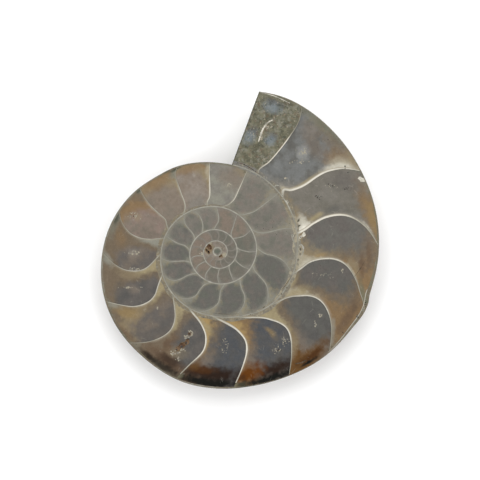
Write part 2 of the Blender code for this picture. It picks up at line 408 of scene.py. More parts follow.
class Bench:
    """Blender's own modelling tools, used on one piece at a time."""

    @staticmethod
    def pick(*pieces: Piece) -> None:
        """Selects these pieces and nothing else."""
        bpy.ops.object.select_all(action="DESELECT")
        for piece in pieces:
            piece.select_set(True)
        bpy.context.view_layer.objects.active = pieces[0]

    @staticmethod
    def modify(piece: Piece, kind: str, **settings: object) -> None:
        """Adds a modifier to a piece and applies it.

        Args:
            piece: The piece to change.
            kind: The modifier's type.
            settings: The modifier's own settings.
        """
        Bench.pick(piece)
        modifier = piece.modifiers.new(kind.lower(), kind)
        for name, value in settings.items():
            setattr(modifier, name, value)
        bpy.ops.object.modifier_apply(modifier=modifier.name)

    @staticmethod
    def sheet(
        name: str,
        columns: int,
        rows: int,
        place: Callable[[float, float], Vector],
        mark: Callable[[float, float], Pair] | None = None,
    ) -> Piece:
        """Lays a grid over a curved patch.

        Args:
            name: The piece's name.
            columns: Faces across.
            rows: Faces along.
            place: The point for each share across and share along.
            mark: The map coordinates for the same shares, which are the shares themselves if it is left out.

        Returns:
            The new piece, with its map named face.
        """
        bpy.ops.mesh.primitive_grid_add(x_subdivisions=columns, y_subdivisions=rows, size=2)
        piece = bpy.context.active_object
        piece.name = name
        mesh = piece.data
        mesh.name = name
        shares = [((vertex.co.x + 1) / 2, (vertex.co.y + 1) / 2) for vertex in mesh.vertices]
        for vertex, share in zip(mesh.vertices, shares):
            vertex.co = place(*share)
        layer = mesh.uv_layers[0]
        layer.name = "face"
        for corner in mesh.loops:
            share = shares[corner.vertex_index]
            layer.data[corner.index].uv = mark(*share) if mark else share
        return piece

    @staticmethod
    def thicken(piece: Piece, thickness: float) -> None:
        """Gives a sheet its thickness downwards, as one closed body."""
        Bench.modify(piece, "SOLIDIFY", thickness=thickness, offset=-1.0, use_even_offset=False)

    @staticmethod
    def tag(piece: Piece, name: str, values: float | Sequence[float]) -> None:
        """Writes a number on each of a piece's points.

        Args:
            piece: The piece.
            name: The attribute's name.
            values: One number for all points, or one for each.
        """
        layer = piece.data.attributes.new(name, "FLOAT", "POINT")
        count = len(piece.data.vertices)
        numbers = [values] * count if isinstance(values, (int, float)) else values
        layer.data.foreach_set("value", numbers)

    @staticmethod
    def join(pieces: Sequence[Piece], name: str) -> Piece:
        """Makes several meshes one piece."""
        Bench.pick(*pieces)
        if len(pieces) > 1:
            bpy.ops.object.join()
        joined = bpy.context.view_layer.objects.active
        joined.name = name
        joined.data.name = name
        return joined

    @staticmethod
    def place_copies(
        model: Piece, places: Sequence[Matrix], name: str, keep: bool = False
    ) -> Piece:
        """Copies a small model to many places, as one piece.

        Args:
            model: The model.
            places: Where each copy goes.
            name: The new piece's name.
            keep: Whether the model is kept.

        Returns:
            The piece with all the copies.
        """
        copies = []
        for place in places:
            copy = model.copy()
            copy.data = model.data.copy()
            copy.data.transform(place)
            bpy.context.scene.collection.objects.link(copy)
            copies.append(copy)
        if not keep:
            bpy.data.objects.remove(model)
        return Bench.join(copies, name)

    @staticmethod
    def finish(piece: Piece, material: Material, sharp: float = 35.0) -> None:
        """Shades a piece, gives it its material and fixes it to the fossil."""
        Bench.pick(piece)
        bpy.ops.object.shade_smooth_by_angle(angle=math.radians(sharp))
        piece.data.materials.clear()
        piece.data.materials.append(material)
        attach(piece, "root")
        LOG.info("%s: %d faces", piece.name, len(piece.data.polygons))


def ribbon(
    name: str, centres: Sequence[Vector], widths: Sequence[float], thickness: float
) -> Piece:
    """A flat strip along a line on the sawn face, let into the stone.

    Args:
        name: The piece's name.
        centres: The points of its middle line.
        widths: Its width at each of those points.
        thickness: How deep it goes.

    Returns:
        The strip, whose map runs from 0 to 1 across, left to right, and along.
    """
    last = len(centres) - 1
    sides = []
    for i in range(last + 1):
        along = centres[min(i + 1, last)] - centres[max(i - 1, 0)]
        sides.append(Vector((along.y, -along.x, 0.0)).normalized())

    def place(x: float, y: float) -> Vector:
        """The point at a share across and a share along."""
        i = round(y * last)
        return centres[i] + sides[i] * widths[i] * (x - 0.5)

    piece = Bench.sheet(name, RIBBON_FACES, last, place)
    Bench.thicken(piece, thickness)
    return piece


# --- materials


STUDIO_GAIN = 0.65  # the studio's light is brighter than the daylight that the tints are given for


class Tint(Enum):
    """The stone's colours in even daylight: red, green and blue from 0 to 255."""

    CREAM = (240, 235, 220)
    BONE = (205, 200, 184)
    SAND = (176, 168, 146)
    STRAW = (166, 153, 120)
    WHEAT = (172, 146, 99)
    PUTTY = (150, 148, 135)
    SAGE = (131, 130, 116)
    MOSS_GREY = (108, 111, 100)
    FOREST = (62, 66, 54)
    PEARL = (134, 130, 122)
    ROSE_GREY = (145, 135, 124)
    DUSTY_ROSE = (140, 123, 113)
    FAWN = (136, 124, 111)
    CLAY = (129, 120, 108)
    STONE = (119, 115, 105)
    TAUPE = (122, 112, 101)
    MAUVE = (107, 102, 97)
    LEAD = (102, 101, 96)
    DOVE = (109, 107, 101)
    HAZE = (129, 124, 115)
    SMOKE = (95, 93, 90)
    SLATE = (86, 88, 91)
    ASH = (122, 123, 121)
    MIST = (180, 181, 178)
    STEEL = (118, 130, 138)
    TAN = (146, 131, 104)
    DRAB = (122, 108, 90)
    KHAKI = (138, 127, 104)
    HONEY = (158, 134, 92)
    OCHRE = (138, 114, 84)
    BISTRE = (110, 90, 72)
    AMBER = (108, 78, 44)
    ORANGE = (106, 61, 17)
    RUST = (79, 49, 23)
    UMBER = (47, 33, 25)
    INK = (24, 24, 20)
    OLIVE = (119, 116, 95)
    OLIVE_DARK = (86, 84, 66)

    def light(self) -> tuple[float, float, float, float]:
        """The colour as light, as a shader takes it."""
        parts = []
        for value in self.value:
            share = value / 255
            light = share / 12.92 if share <= 0.04045 else ((share + 0.055) / 1.055) ** 2.4
            parts.append(light * STUDIO_GAIN)
        return (*parts, 1.0)


def maths(operation: str, reflected: bool = False) -> Callable[["Wire", object], "Wire"]:
    """An operator for values in a shader.

    Args:
        operation: The Math node's operation.
        reflected: Whether the value stands on the operator's right.

    Returns:
        A method that adds the node.
    """

    def operate(wire: "Wire", other: object) -> "Wire":
        """Adds the Math node."""
        first, second = (other, wire) if reflected else (wire, other)
        return wire.graph.node("ShaderNodeMath", {"operation": operation}, {0: first, 1: second})

    return operate


class Wire:
    """A value in a shader, which Python's own operators work on."""

    def __init__(self, graph: "Graph", socket: bpy.types.NodeSocket) -> None:
        """Wraps a socket.

        Args:
            graph: The node tree it is in.
            socket: The output that gives the value.
        """
        self.graph = graph
        self.socket = socket

    __add__ = maths("ADD")
    __radd__ = maths("ADD", reflected=True)
    __sub__ = maths("SUBTRACT")
    __rsub__ = maths("SUBTRACT", reflected=True)
    __mul__ = maths("MULTIPLY")
    __rmul__ = maths("MULTIPLY", reflected=True)
    __truediv__ = maths("DIVIDE")

    def step(self, low: float, high: float) -> "Wire":
        """A soft step from 0 at low to 1 at high, which may be the lower of the two."""
        inputs = {"Value": self, "From Min": low, "From Max": high}
        return self.graph.node("ShaderNodeMapRange", {"interpolation_type": "SMOOTHSTEP"}, inputs)


class Graph:
    """A node tree being written."""

    def __init__(self, owner: Material | bpy.types.World) -> None:
        """Opens the node tree of a material or a world."""
        owner.use_nodes = True
        self.tree = owner.node_tree

    def node(
        self,
        kind: str,
        settings: dict[str, object] | None = None,
        inputs: dict[int | str, object] | None = None,
        output: int | str = 0,
    ) -> Wire:
        """Adds a node.

        Args:
            kind: The node's type.
            settings: Its own settings, which are set first.
            inputs: Values or wires for its sockets, by name or number.
            output: The output that is wanted.

        Returns:
            That output.
        """
        made = self.tree.nodes.new(kind)
        for name, value in (settings or {}).items():
            setattr(made, name, value)
        for name, value in (inputs or {}).items():
            self.feed(made.inputs[name], value)
        return Wire(self, made.outputs[output])

    def feed(self, socket: bpy.types.NodeSocket, value: object) -> None:
        """Links a wire to a socket, or sets a plain value on it."""
        if isinstance(value, Wire):
            self.tree.links.new(value.socket, socket)
        else:
            socket.default_value = value


class Recipe(Graph):
    """A material being written, node by node."""

    def __init__(self, name: str) -> None:
        """Starts a material of this name."""
        self.material = bpy.data.materials.new(name)
        super().__init__(self.material)
        self.shader = self.tree.nodes["Principled BSDF"]
        self.place = self.node("ShaderNodeTexCoord", output="Object")

    def mix(self, factor: object, first: object, second: object) -> Wire:
        """Mixes two colours, wires or tints."""
        colours = [side.light() if isinstance(side, Tint) else side for side in (first, second)]
        inputs = {0: factor, 6: colours[0], 7: colours[1]}
        return self.node("ShaderNodeMix", {"data_type": "RGBA"}, inputs, output=2)

    def sine(self, angle: Wire) -> Wire:
        """The sine of an angle in radians."""
        return self.node("ShaderNodeMath", {"operation": "SINE"}, {0: angle})

    def fleck(
        self,
        colour: Wire,
        tint: Tint,
        strength: float,
        steps: Pair,
        size_mm: float,
        detail: float,
        seed: float,
    ) -> Wire:
        """Lays flecks over a colour.

        Args:
            colour: The colour under them.
            tint: Their colour.
            strength: How much they cover, from 0 to 1.
            steps: The noise at which they begin and are full.
            size_mm: How large they are.
            detail: The noise's detail.
            seed: The noise's seed.

        Returns:
            The flecked colour.
        """
        return self.mix(self.grain(size_mm, detail, seed).step(*steps) * strength, colour, tint)

    def shade(self, colour: Wire, factor: Wire) -> Wire:
        """Makes a colour lighter or darker by a factor."""
        grey = self.node("ShaderNodeCombineColor", inputs={0: factor, 1: factor, 2: factor})
        settings = {"data_type": "RGBA", "blend_type": "MULTIPLY"}
        return self.node("ShaderNodeMix", settings, {0: 1.0, 6: colour, 7: grey}, output=2)

    def grain(self, size_mm: float, detail: float = 3.0, seed: float = 0.0, roughness: float = 0.5) -> Wire:
        """Soft cloudy noise about 0.5, whose blots are about a size in mm across."""
        inputs = {"Vector": self.place, "W": seed, "Scale": 1.0 / (size_mm * MM), "Detail": detail}
        inputs["Roughness"] = roughness
        return self.node("ShaderNodeTexNoise", {"noise_dimensions": "4D"}, inputs)

    def cracks(self, size_mm: float, warp: float = 0.35) -> Wire:
        """Distance to the nearest line of a net of cells about a size in mm across, as a share of it."""
        settings = {"operation": "MULTIPLY_ADD"}
        noises = {"Vector": self.place, "Scale": 0.5 / (size_mm * MM)}
        wobble = self.node("ShaderNodeTexNoise", inputs=noises, output="Color")
        factor = (warp * size_mm * MM,) * 3
        bent = self.node("ShaderNodeVectorMath", settings, {0: wobble, 1: factor, 2: self.place})
        inputs = {"Vector": bent, "Scale": 1.0 / (size_mm * MM)}
        return self.node("ShaderNodeTexVoronoi", {"feature": "DISTANCE_TO_EDGE"}, inputs)

    def attribute(self, name: str) -> Wire:
        """The number written on the piece's points."""
        return self.node("ShaderNodeAttribute", {"attribute_name": name}, output="Fac")

    def face_map(self) -> tuple[Wire, Wire]:
        """The piece's own map, across and along."""
        uv = self.node("ShaderNodeUVMap", {"uv_map": "face"})
        return tuple(self.node("ShaderNodeSeparateXYZ", inputs={0: uv}, output=i) for i in (0, 1))

    def distance(self, at: Pair, reach: Pair) -> Wire:
        """How far a point of the face's own map lies from a place, where 1 is an ellipse of that reach."""
        uv = self.node("ShaderNodeUVMap", {"uv_map": "face"})
        scale = (1 / reach[0], 1 / reach[1], 0.0)
        offset = (-at[0] * scale[0], -at[1] * scale[1], 0.0)
        moved = self.node("ShaderNodeVectorMath", {"operation": "MULTIPLY_ADD"}, {0: uv, 1: scale, 2: offset})
        return self.node("ShaderNodeVectorMath", {"operation": "LENGTH"}, {0: moved}, "Value")

    def near(self, at_mm: Pair, reach_mm: float) -> Wire:
        """How far a point lies from a place, in mm from the coil's axis, where 1 is the reach."""
        spot = COIL.polar(0.0, 0.0) + Vector((at_mm[0] * MM, at_mm[1] * MM, 0.0))
        inputs = {0: self.place, 1: spot}
        return self.node("ShaderNodeVectorMath", {"operation": "DISTANCE"}, inputs, "Value") / (reach_mm * MM)

    def bump(self, height: Wire, depth_mm: float) -> None:
        """Gives the surface a fine relief.

        Args:
            height: The relief, from 0 to 1.
            depth_mm: The height that 1 stands for.
        """
        inputs = {"Height": height, "Distance": depth_mm * MM, "Strength": 1.0}
        self.feed(self.shader.inputs["Normal"], self.node("ShaderNodeBump", inputs=inputs))

    def surface(self, colour: Wire, roughness: float | Wire, gloss: float = 0.35) -> Material:
        """Closes the recipe with its colour, its roughness and how strongly it mirrors."""
        self.feed(self.shader.inputs["Base Color"], colour)
        self.feed(self.shader.inputs["Roughness"], roughness)
        self.shader.inputs["Specular IOR Level"].default_value = gloss
        return self.material


POLISH = 0.2  # roughness of the polished face
GRAIN_ANGLE = 60.0  # edges of grains and beads are sharp above this many degrees


@dataclass(frozen=True)
class Stain:
    """A soft blot of colour in a chamber.

    at and reach are shares: from the older septum to the younger one, and from the inner wall to the outer.
    """

    tint: Tint
    at: Pair
    reach: Pair
    strength: float = 0.9

    def lay(self, recipe: Recipe, colour: Wire, wobble: Wire) -> Wire:
        """Lays the blot over a colour.

        Args:
            recipe: The material.
            colour: The colour under it.
            wobble: Noise that frays its edge.

        Returns:
            The colour with the blot.
        """
        mask = (recipe.distance(self.at, self.reach) + (wobble - 0.5) * 1.1).step(1.05, 0.15) * self.strength
        return recipe.mix(mask, colour, self.tint)


@dataclass(frozen=True)
class ChamberStone:
    """Calcite that fills one chamber: a clear, dark lens on its younger side, and warm crescents round it.

    low and high are the crescents by the foot and by the outer wall: the tint next to the lens, and the tint
    farthest from it. centre and reach place the lens in the chamber's map.
    """

    number: int
    lens: Tint
    cloud: Tint
    low: tuple[Tint, Tint]
    high: tuple[Tint, Tint]
    stains: tuple[Stain, ...] = ()
    centre: Pair = (1.0, 0.52)
    reach: Pair = (0.86, 0.44)
    corner: Tint = Tint.PUTTY
    shine: float = 0.25
    tips: float = 0.8
    mottle: float = 0.34

    @property
    def name(self) -> str:
        """The chamber's name."""
        return f"chamber_{self.number:02d}"

    def material(self) -> Material:
        """Writes the material."""
        recipe = Recipe(self.name)
        across, along = recipe.face_map()
        clouds = recipe.grain(2.6, 4.0, self.number)
        wobble = recipe.grain(1.3, 4.0, self.number + 7)
        fine = recipe.grain(0.35, 5.0, self.number + 3, 0.65)
        far = recipe.distance(self.centre, self.reach) + (wobble - 0.5) * 0.45
        upper = along.step(self.centre[1] - 0.15, self.centre[1] + 0.2)
        near_tint = recipe.mix(upper, self.low[0], self.high[0])
        far_tint = recipe.mix(upper, self.low[1], self.high[1])
        crescent = recipe.mix(far.step(0.98, 1.2), near_tint, far_tint)
        crescent = recipe.mix((far - upper).step(1.25, 1.6) * 0.8, crescent, self.corner)
        lens = recipe.mix(clouds.step(0.36, 0.66), self.lens, self.cloud)
        colour = recipe.mix(far.step(0.72, 1.04), lens, crescent)
        shine = (across + (wobble - 0.5) * 0.05).step(0.07, 0.01)
        shine = shine * along.step(0.05, 0.3) * along.step(0.98, 0.7)
        colour = recipe.mix(shine * self.shine, colour, Tint.BONE)
        ends = across.step(0.25, 0.0) + across.step(0.93, 1.0) * 0.6
        tips = (along + (ends - 1) * 0.09 + (wobble - 0.5) * 0.14).step(0.86, 0.95)
        colour = recipe.mix(tips * self.tips, colour, Tint.SAGE)
        specks = recipe.grain(0.45, 2.0, self.number + 13).step(0.56, 0.64) * tips
        colour = recipe.mix(specks * self.tips, colour, Tint.FOREST)
        colour = recipe.mix(along.step(0.06, 0.0) * 0.6, colour, Tint.PUTTY)
        for stain in self.stains:
            colour = stain.lay(recipe, colour, wobble)
        light = 0.6 + fine * 0.46 + recipe.grain(0.9, 3.0, self.number + 17) * self.mottle
        colour = recipe.shade(colour, light - across.step(0.955, 0.985) * 0.16)
        lines = recipe.cracks(2.6).step(0.03, 0.0) * recipe.grain(2.0, 2.0, self.number + 11).step(0.55, 0.7)
        colour = recipe.mix(lines * 0.2, colour, Tint.BONE)
        return recipe.surface(colour, POLISH + fine * 0.06)


@dataclass(frozen=True)
class WhorlStone:
    """Calcite of the small inner chambers: a clear oval in each, and pale stone in its older, outer corner.

    The number written on a chamber says how clear it is.
    """

    name: str
    clear: Tint
    cloudy: Tint
    pale: Tint
    rim: Tint
    centre: Pair = (0.64, 0.42)
    reach: Pair = (0.62, 0.58)
    seed: float = 0.0

    def material(self) -> Material:
        """Writes the material."""
        recipe = Recipe(self.name)
        across, along = recipe.face_map()
        tone = recipe.attribute("tone")
        clouds = recipe.grain(1.6, 4.0, self.seed)
        hues = recipe.grain(2.4, 3.0, self.seed + 21)
        wobble = recipe.grain(0.8, 4.0, self.seed + 7)
        fine = recipe.grain(0.3, 5.0, self.seed + 3, 0.65)
        cloudiness = (1 - tone.step(0.0, 0.4) + (clouds - 0.5) * 1.6).step(0.0, 1.0)
        lens = recipe.mix(cloudiness, self.clear, self.cloudy)
        lens = recipe.mix(hues.step(0.5, 0.66) * (0.4 - tone * 0.28), lens, Tint.DUSTY_ROSE)
        lens = recipe.mix(hues.step(0.5, 0.36) * 0.5, lens, Tint.MOSS_GREY)
        far = recipe.distance(self.centre, self.reach) + (wobble - 0.5) * 0.6
        blend = recipe.mix(clouds.step(0.4, 0.6), self.pale, self.rim)
        colour = recipe.mix(far.step(0.82, 1.2) * (0.4 + tone * 0.5), lens, blend)
        younger = recipe.distance((1.0, 0.0), (0.5, 0.3)) + (wobble - 0.5) * 0.6
        colour = recipe.mix(younger.step(1.0, 0.5) * (0.2 + tone * 0.4), colour, blend)
        inside = across * (1 - across) * along * (1 - along) * 16 + (wobble - 0.5) * 0.6
        colour = recipe.mix(inside.step(0.4, 0.0) * 0.5, colour, self.rim)
        colour = recipe.shade(colour, 0.6 + fine * 0.5 + recipe.grain(0.8, 3.0, self.seed + 17) * 0.3)
        return recipe.surface(colour, POLISH + fine * 0.06)


@dataclass(frozen=True)
class HeartStone:
    """The clouded stone of the innermost turns, with the first chamber and rusty halos round the pockets.

    blots are places in mm from the axis, their reach in mm, their tint and their strength.
    """

    name: str = "heart_stone"
    blots: tuple[tuple[Pair, float, Tint, float], ...] = (
        ((-2.2, 0.9), 1.7, Tint.TAN, 0.5),
        ((-2.3, 0.8), 1.15, Tint.OCHRE, 0.6),
        ((0.95, -0.95), 0.7, Tint.OCHRE, 0.5),
        ((1.8, -0.7), 0.7, Tint.SAND, 0.8),
        ((-1.9, 2.4), 0.5, Tint.SAND, 0.6),
        ((-0.05, 0.18), 1.3, Tint.PEARL, 0.55),
        ((-0.05, 0.18), 0.78, Tint.MOSS_GREY, 1.0),
    )

    def material(self) -> Material:
        """Writes the material."""
        recipe = Recipe(self.name)
        clouds = recipe.grain(1.1, 4.0, 2.0)
        wobble = (recipe.grain(0.6, 4.0, 7.0) - 0.5) * 0.9
        fine = recipe.grain(0.3, 4.0, 5.0, 0.6)
        colour = recipe.mix(clouds.step(0.38, 0.62), Tint.ROSE_GREY, Tint.CLAY)
        colour = recipe.fleck(colour, Tint.SAND, 0.5, (0.5, 0.7), 0.7, 2.0, 9.0)
        for at, reach, tint, strength in self.blots:
            colour = recipe.mix((recipe.near(at, reach) + wobble).step(1.05, 0.6) * strength, colour, tint)
        colour = recipe.shade(colour, 0.68 + fine * 0.64)
        return recipe.surface(colour, POLISH + fine * 0.08)


@dataclass(frozen=True)
class ShellStrip:
    """Old shell turned to pale calcite, brighter where the number written on it is high.

    Its younger side, where its map is 0 across, melts into the stone.
    """

    name: str
    dull: Tint = Tint.PUTTY
    bright: Tint = Tint.CREAM
    edge: Tint = Tint.TAN
    melt: float = 0.75

    def material(self) -> Material:
        """Writes the material."""
        recipe = Recipe(self.name)
        across, _ = recipe.face_map()
        glow = recipe.attribute("glow")
        patches = recipe.grain(1.2, 3.0, 4.0)
        fine = recipe.grain(0.25, 3.0, 6.0)
        core = recipe.mix((glow + (patches - 0.5) * 0.5).step(0.0, 1.0), self.dull, self.bright)
        near = across.step(0.5, 0.0) * self.melt + across.step(0.8, 1.0) * 0.6
        colour = recipe.mix(near, core, self.edge)
        colour = recipe.shade(colour, 0.86 + fine * 0.28)
        return recipe.surface(colour, POLISH + fine * 0.1)


@dataclass(frozen=True)
class Cement:
    """Mottled cement between the whorls and in the outer shell: low to high as the number on it grows."""

    name: str
    low: Tint
    middle: Tint
    high: Tint
    blot: Tint

    def material(self) -> Material:
        """Writes the material."""
        recipe = Recipe(self.name)
        glow = recipe.attribute("glow") + (recipe.grain(1.6, 3.0, 5.0) - 0.5) * 0.5
        fine = recipe.grain(0.25, 4.0, 3.0, 0.65)
        colour = recipe.mix(glow.step(0.0, 0.5), self.low, self.middle)
        colour = recipe.mix(glow.step(0.5, 1.0), colour, self.high)
        colour = recipe.fleck(colour, self.blot, 0.75, (0.42, 0.6), 0.9, 4.0, 1.0)
        colour = recipe.fleck(colour, self.high, 0.5, (0.54, 0.66), 0.5, 2.0, 8.0)
        colour = recipe.fleck(colour, Tint.FOREST, 0.55, (0.64, 0.74), 0.55, 2.0, 12.0)
        colour = recipe.shade(colour, 0.72 + fine * 0.56)
        return recipe.surface(colour, POLISH + 0.05 + fine * 0.1)


@dataclass(frozen=True)
class RockFill:
    """Olive mudstone that filled the body chamber, with bluish patches of clear calcite.

    Where it has a skin, the number written on it says where the shell is.
    """

    name: str
    patches: tuple[tuple[Pair, Pair], ...] = ()
    skin: bool = False

    def material(self) -> Material:
        """Writes the material."""
        recipe = Recipe(self.name)
        blots = recipe.grain(1.3, 5.0, 2.0, 0.6)
        wobble = recipe.grain(0.9, 4.0, 21.0, 0.6)
        fine = recipe.grain(0.25, 4.0, 4.0, 0.7)
        colour = recipe.mix(blots.step(0.36, 0.64), Tint.OLIVE, Tint.OLIVE_DARK)
        colour = recipe.fleck(colour, Tint.SAGE, 0.7, (0.5, 0.64), 0.9, 3.0, 9.0)
        colour = recipe.fleck(colour, Tint.BISTRE, 0.6, (0.55, 0.66), 0.8, 3.0, 14.0)
        for at, reach in self.patches:
            above = (at[0], at[1] + reach[1] * 0.7)
            colour = Stain(Tint.SLATE, above, (reach[0], reach[1] * 0.6), 0.6).lay(recipe, colour, wobble)
            colour = Stain(Tint.STEEL, at, reach, 0.65).lay(recipe, colour, wobble)
        colour = recipe.fleck(colour, Tint.FOREST, 0.7, (0.54, 0.66), 0.6, 3.0, 25.0)
        colour = recipe.fleck(colour, Tint.SAND, 0.7, (0.62, 0.72), 0.4, 2.0, 17.0)
        if self.skin:
            edge = recipe.attribute("glow")
            colour = recipe.mix(edge.step(0.1, 0.4) * 0.7, colour, Tint.BISTRE)
            colour = recipe.mix((edge + (fine - 0.5) * 0.4).step(0.45, 0.75) * 0.9, colour, Tint.SAND)
        colour = recipe.shade(colour, 0.74 + fine * 0.8)
        return recipe.surface(colour, POLISH + 0.1 + fine * 0.12)


@dataclass(frozen=True)
class NaturalShell:
    """The outside of the shell: brown and cream bands with growth lines, and dull earth in the hollows
    between the ribs, darker there also as painted shade.
    """

    name: str = "natural_shell"
    growth_lines: float = 1400.0

    def material(self) -> Material:
        """Writes the material."""
        recipe = Recipe(self.name)
        height, along = recipe.face_map()
        clouds = recipe.grain(7.0, 4.0, 1.0)
        blots = recipe.grain(2.6, 4.0, 3.0)
        fine = recipe.grain(0.3, 4.0, 5.0, 0.7)
        bend = height * height * FLANK.rib_sweep - recipe.sine(height * math.pi) * FLANK.rib_hook
        ribs = recipe.sine((along * TURN - bend) * math.radians(FLANK.ribs_per_turn) + math.pi / 2)
        # the hollows between the ribs: dark earth, and also painted shade that makes the ribs stand out
        hollow_earth_and_shade = (0.5 - ribs * 0.5) * height.step(FLANK.wall_height, FLANK.wall_height + 0.25)
        colour = recipe.mix(clouds.step(0.3, 0.7), Tint.FAWN, Tint.OCHRE)
        colour = recipe.fleck(colour, Tint.SAND, 0.45, (0.45, 0.75), 4.0, 3.0, 8.0)
        colour = recipe.mix(blots.step(0.45, 0.75) * 0.4, colour, Tint.BISTRE)
        colour = recipe.mix(hollow_earth_and_shade * (blots * 0.8 + 0.25), colour, Tint.OLIVE_DARK)
        colour = recipe.mix(height.step(0.14, 0.02) * 0.5, colour, Tint.BISTRE)
        lines = recipe.sine(along * self.growth_lines + blots * 6.0)
        colour = recipe.shade(colour, 0.8 + fine * 0.3 + lines * 0.05)
        recipe.bump(fine * 0.6 + lines * 0.2 + 0.2, 0.06)
        return recipe.surface(colour, 0.38 + blots * 0.2)


@dataclass(frozen=True)
class Druse:
    """Iron-stained crystals that line an open pocket, darker towards its floor, with painted shade in the
    gaps between them.
    """

    name: str = "druse"

    def material(self) -> Material:
        """Writes the material."""
        recipe = Recipe(self.name)
        height = recipe.node("ShaderNodeSeparateXYZ", inputs={0: recipe.place}, output=2)
        fine = recipe.grain(0.16, 3.0, 2.0, 0.6)
        deep = (height - TOP).step(-0.05 * MM, -0.75 * MM)
        colour = recipe.mix(deep, Tint.OCHRE, Tint.ORANGE)
        colour = recipe.fleck(colour, Tint.RUST, 0.7, (0.45, 0.6), 0.9, 2.0, 11.0)
        # painted shade: near-black gaps between the crystals, deeper in the pocket
        shaded_gaps = recipe.grain(0.7, 1.0, 6.0).step(0.5, 0.56) * deep.step(0.0, 0.3)
        colour = recipe.mix(shaded_gaps, colour, Tint.INK)
        colour = recipe.mix(fine.step(0.55, 0.7) * 0.4, colour, Tint.OCHRE)
        colour = recipe.shade(colour, 0.55 + fine * 0.8)
        return recipe.surface(colour, 0.35)


@dataclass(frozen=True)
class Chip:
    """Small grains of one colour, with a little cloudiness, and duller where the number on them is low."""

    name: str
    tint: Tint
    other: Tint
    dull: Tint | None = None
    roughness: float = 0.25

    def material(self) -> Material:
        """Writes the material."""
        recipe = Recipe(self.name)
        colour = recipe.mix(recipe.grain(0.5, 3.0, 3.0).step(0.4, 0.65), self.tint, self.other)
        if self.dull:
            colour = recipe.mix(recipe.attribute("glow").step(0.95, 0.3), colour, self.dull)
        return recipe.surface(recipe.shade(colour, 0.85 + recipe.grain(0.15) * 0.3), self.roughness)


# --- the pieces


def chamber_slab(
    name: str,
    older: Curve,
    younger: Curve,
    thickness: float,
    faces: tuple[int, int] = (36, 30),
) -> Piece:
    """A slab that fills the space between two septa and two whorl walls.

    Args:
        name: The piece's name.
        older: The angle of the older septum at each share.
        younger: The angle of the younger one.
        thickness: The slab's thickness.
        faces: Faces from wall to wall, and from septum to septum.

    Returns:
        The slab, whose map runs from septum to septum and from wall to wall.
    """

    def share_at(x: float) -> float:
        """Shares that lie closer near the walls."""
        return 0.5 - 0.5 * math.cos(math.pi * x)

    def place(x: float, y: float) -> Vector:
        """The point at a share from wall to wall and a share from septum to septum."""
        share = share_at(x)
        return COIL.place(older(share) * (1 - y) + younger(share) * y, share)

    piece = Bench.sheet(name, *faces, place, lambda x, y: (y, share_at(x)))
    Bench.thicken(piece, thickness)
    return piece


@dataclass
class StoneBack:
    """The body of the fossil: its ribbed outside, closed under the mosaic of the sawn face."""

    columns: int = 432
    navel_turns: int = 3
    navel_rows: int = 8
    flank_rows: int = 26
    sink: float = 0.02 * MM
    weld: float = 0.001 * MM
    core_margin: float = 1.02

    def row_height(self, row: float) -> float:
        """Share of the whorl's height at a row, closer near the outer edge."""
        if row <= self.navel_rows:
            return FLANK.seam_height * row / self.navel_rows
        share = (row - self.navel_rows) / self.flank_rows
        return FLANK.seam_height + (1 - FLANK.seam_height) * math.sin(math.pi / 2 * share)

    def whorl(self, name: str, first: float, turns: int, rows: int) -> Piece:
        """Wraps a grid round the coil, from the seam outwards."""

        def spot(x: float, y: float) -> Pair:
            """The height and angle of a grid point."""
            return self.row_height(x * rows), first + TURN * turns * y

        def place(x: float, y: float) -> Vector:
            """The point of the flank."""
            height, angle = spot(x, y)
            point = FLANK.point(angle, height)
            point.z = min(point.z, TOP - self.sink)
            return point

        def mark(x: float, y: float) -> Pair:
            """Map coordinates: height, and angle in turns."""
            height, angle = spot(x, y)
            return height, angle / TURN

        return Bench.sheet(name, rows, self.columns * turns, place, mark)

    def close(self, piece: Piece) -> None:
        """Closes the flank with the face under the mosaic, the mouth and the first chamber."""
        bm = bmesh.new()
        bm.from_mesh(piece.data)
        bmesh.ops.remove_doubles(bm, verts=bm.verts, dist=self.weld)
        rim = [edge for edge in bm.edges if edge.is_boundary]
        level = [edge for edge in rim if all(abs(v.co.z - TOP + self.sink) < self.weld for v in edge.verts)]
        reach = FLANK.seam(FLANK.first - (self.navel_turns - 1) * TURN) * self.core_margin
        centre = Vector((COIL.axis_x, COIL.axis_y))
        start = [edge for edge in rim if all((v.co.xy - centre).length < reach for v in edge.verts)]
        mouth = [edge for edge in rim if edge not in level and edge not in start]
        ends = []
        for angle in (FLANK.first, COIL.mouth_angle):
            corner = FLANK.point(angle, 1.0)
            ends.append(min(bm.verts, key=lambda v: (v.co - corner).length_squared))
        lip = bm.edges.new(ends)
        bmesh.ops.edgeloop_fill(bm, edges=level + [lip])
        bmesh.ops.edgeloop_fill(bm, edges=mouth + [lip])
        core = bmesh.ops.edgeloop_fill(bm, edges=start)["faces"]
        bmesh.ops.poke(bm, faces=core)
        bmesh.ops.recalc_face_normals(bm, faces=bm.faces)
        bm.to_mesh(piece.data)
        bm.free()

    def build(self) -> Piece:
        """Builds the body."""
        last = self.whorl("stone_back", FLANK.first, 1, self.navel_rows + self.flank_rows)
        first = FLANK.first - self.navel_turns * TURN
        navel = self.whorl("navel", first, self.navel_turns, self.navel_rows)
        piece = Bench.join([last, navel], "stone_back")
        self.close(piece)
        return piece


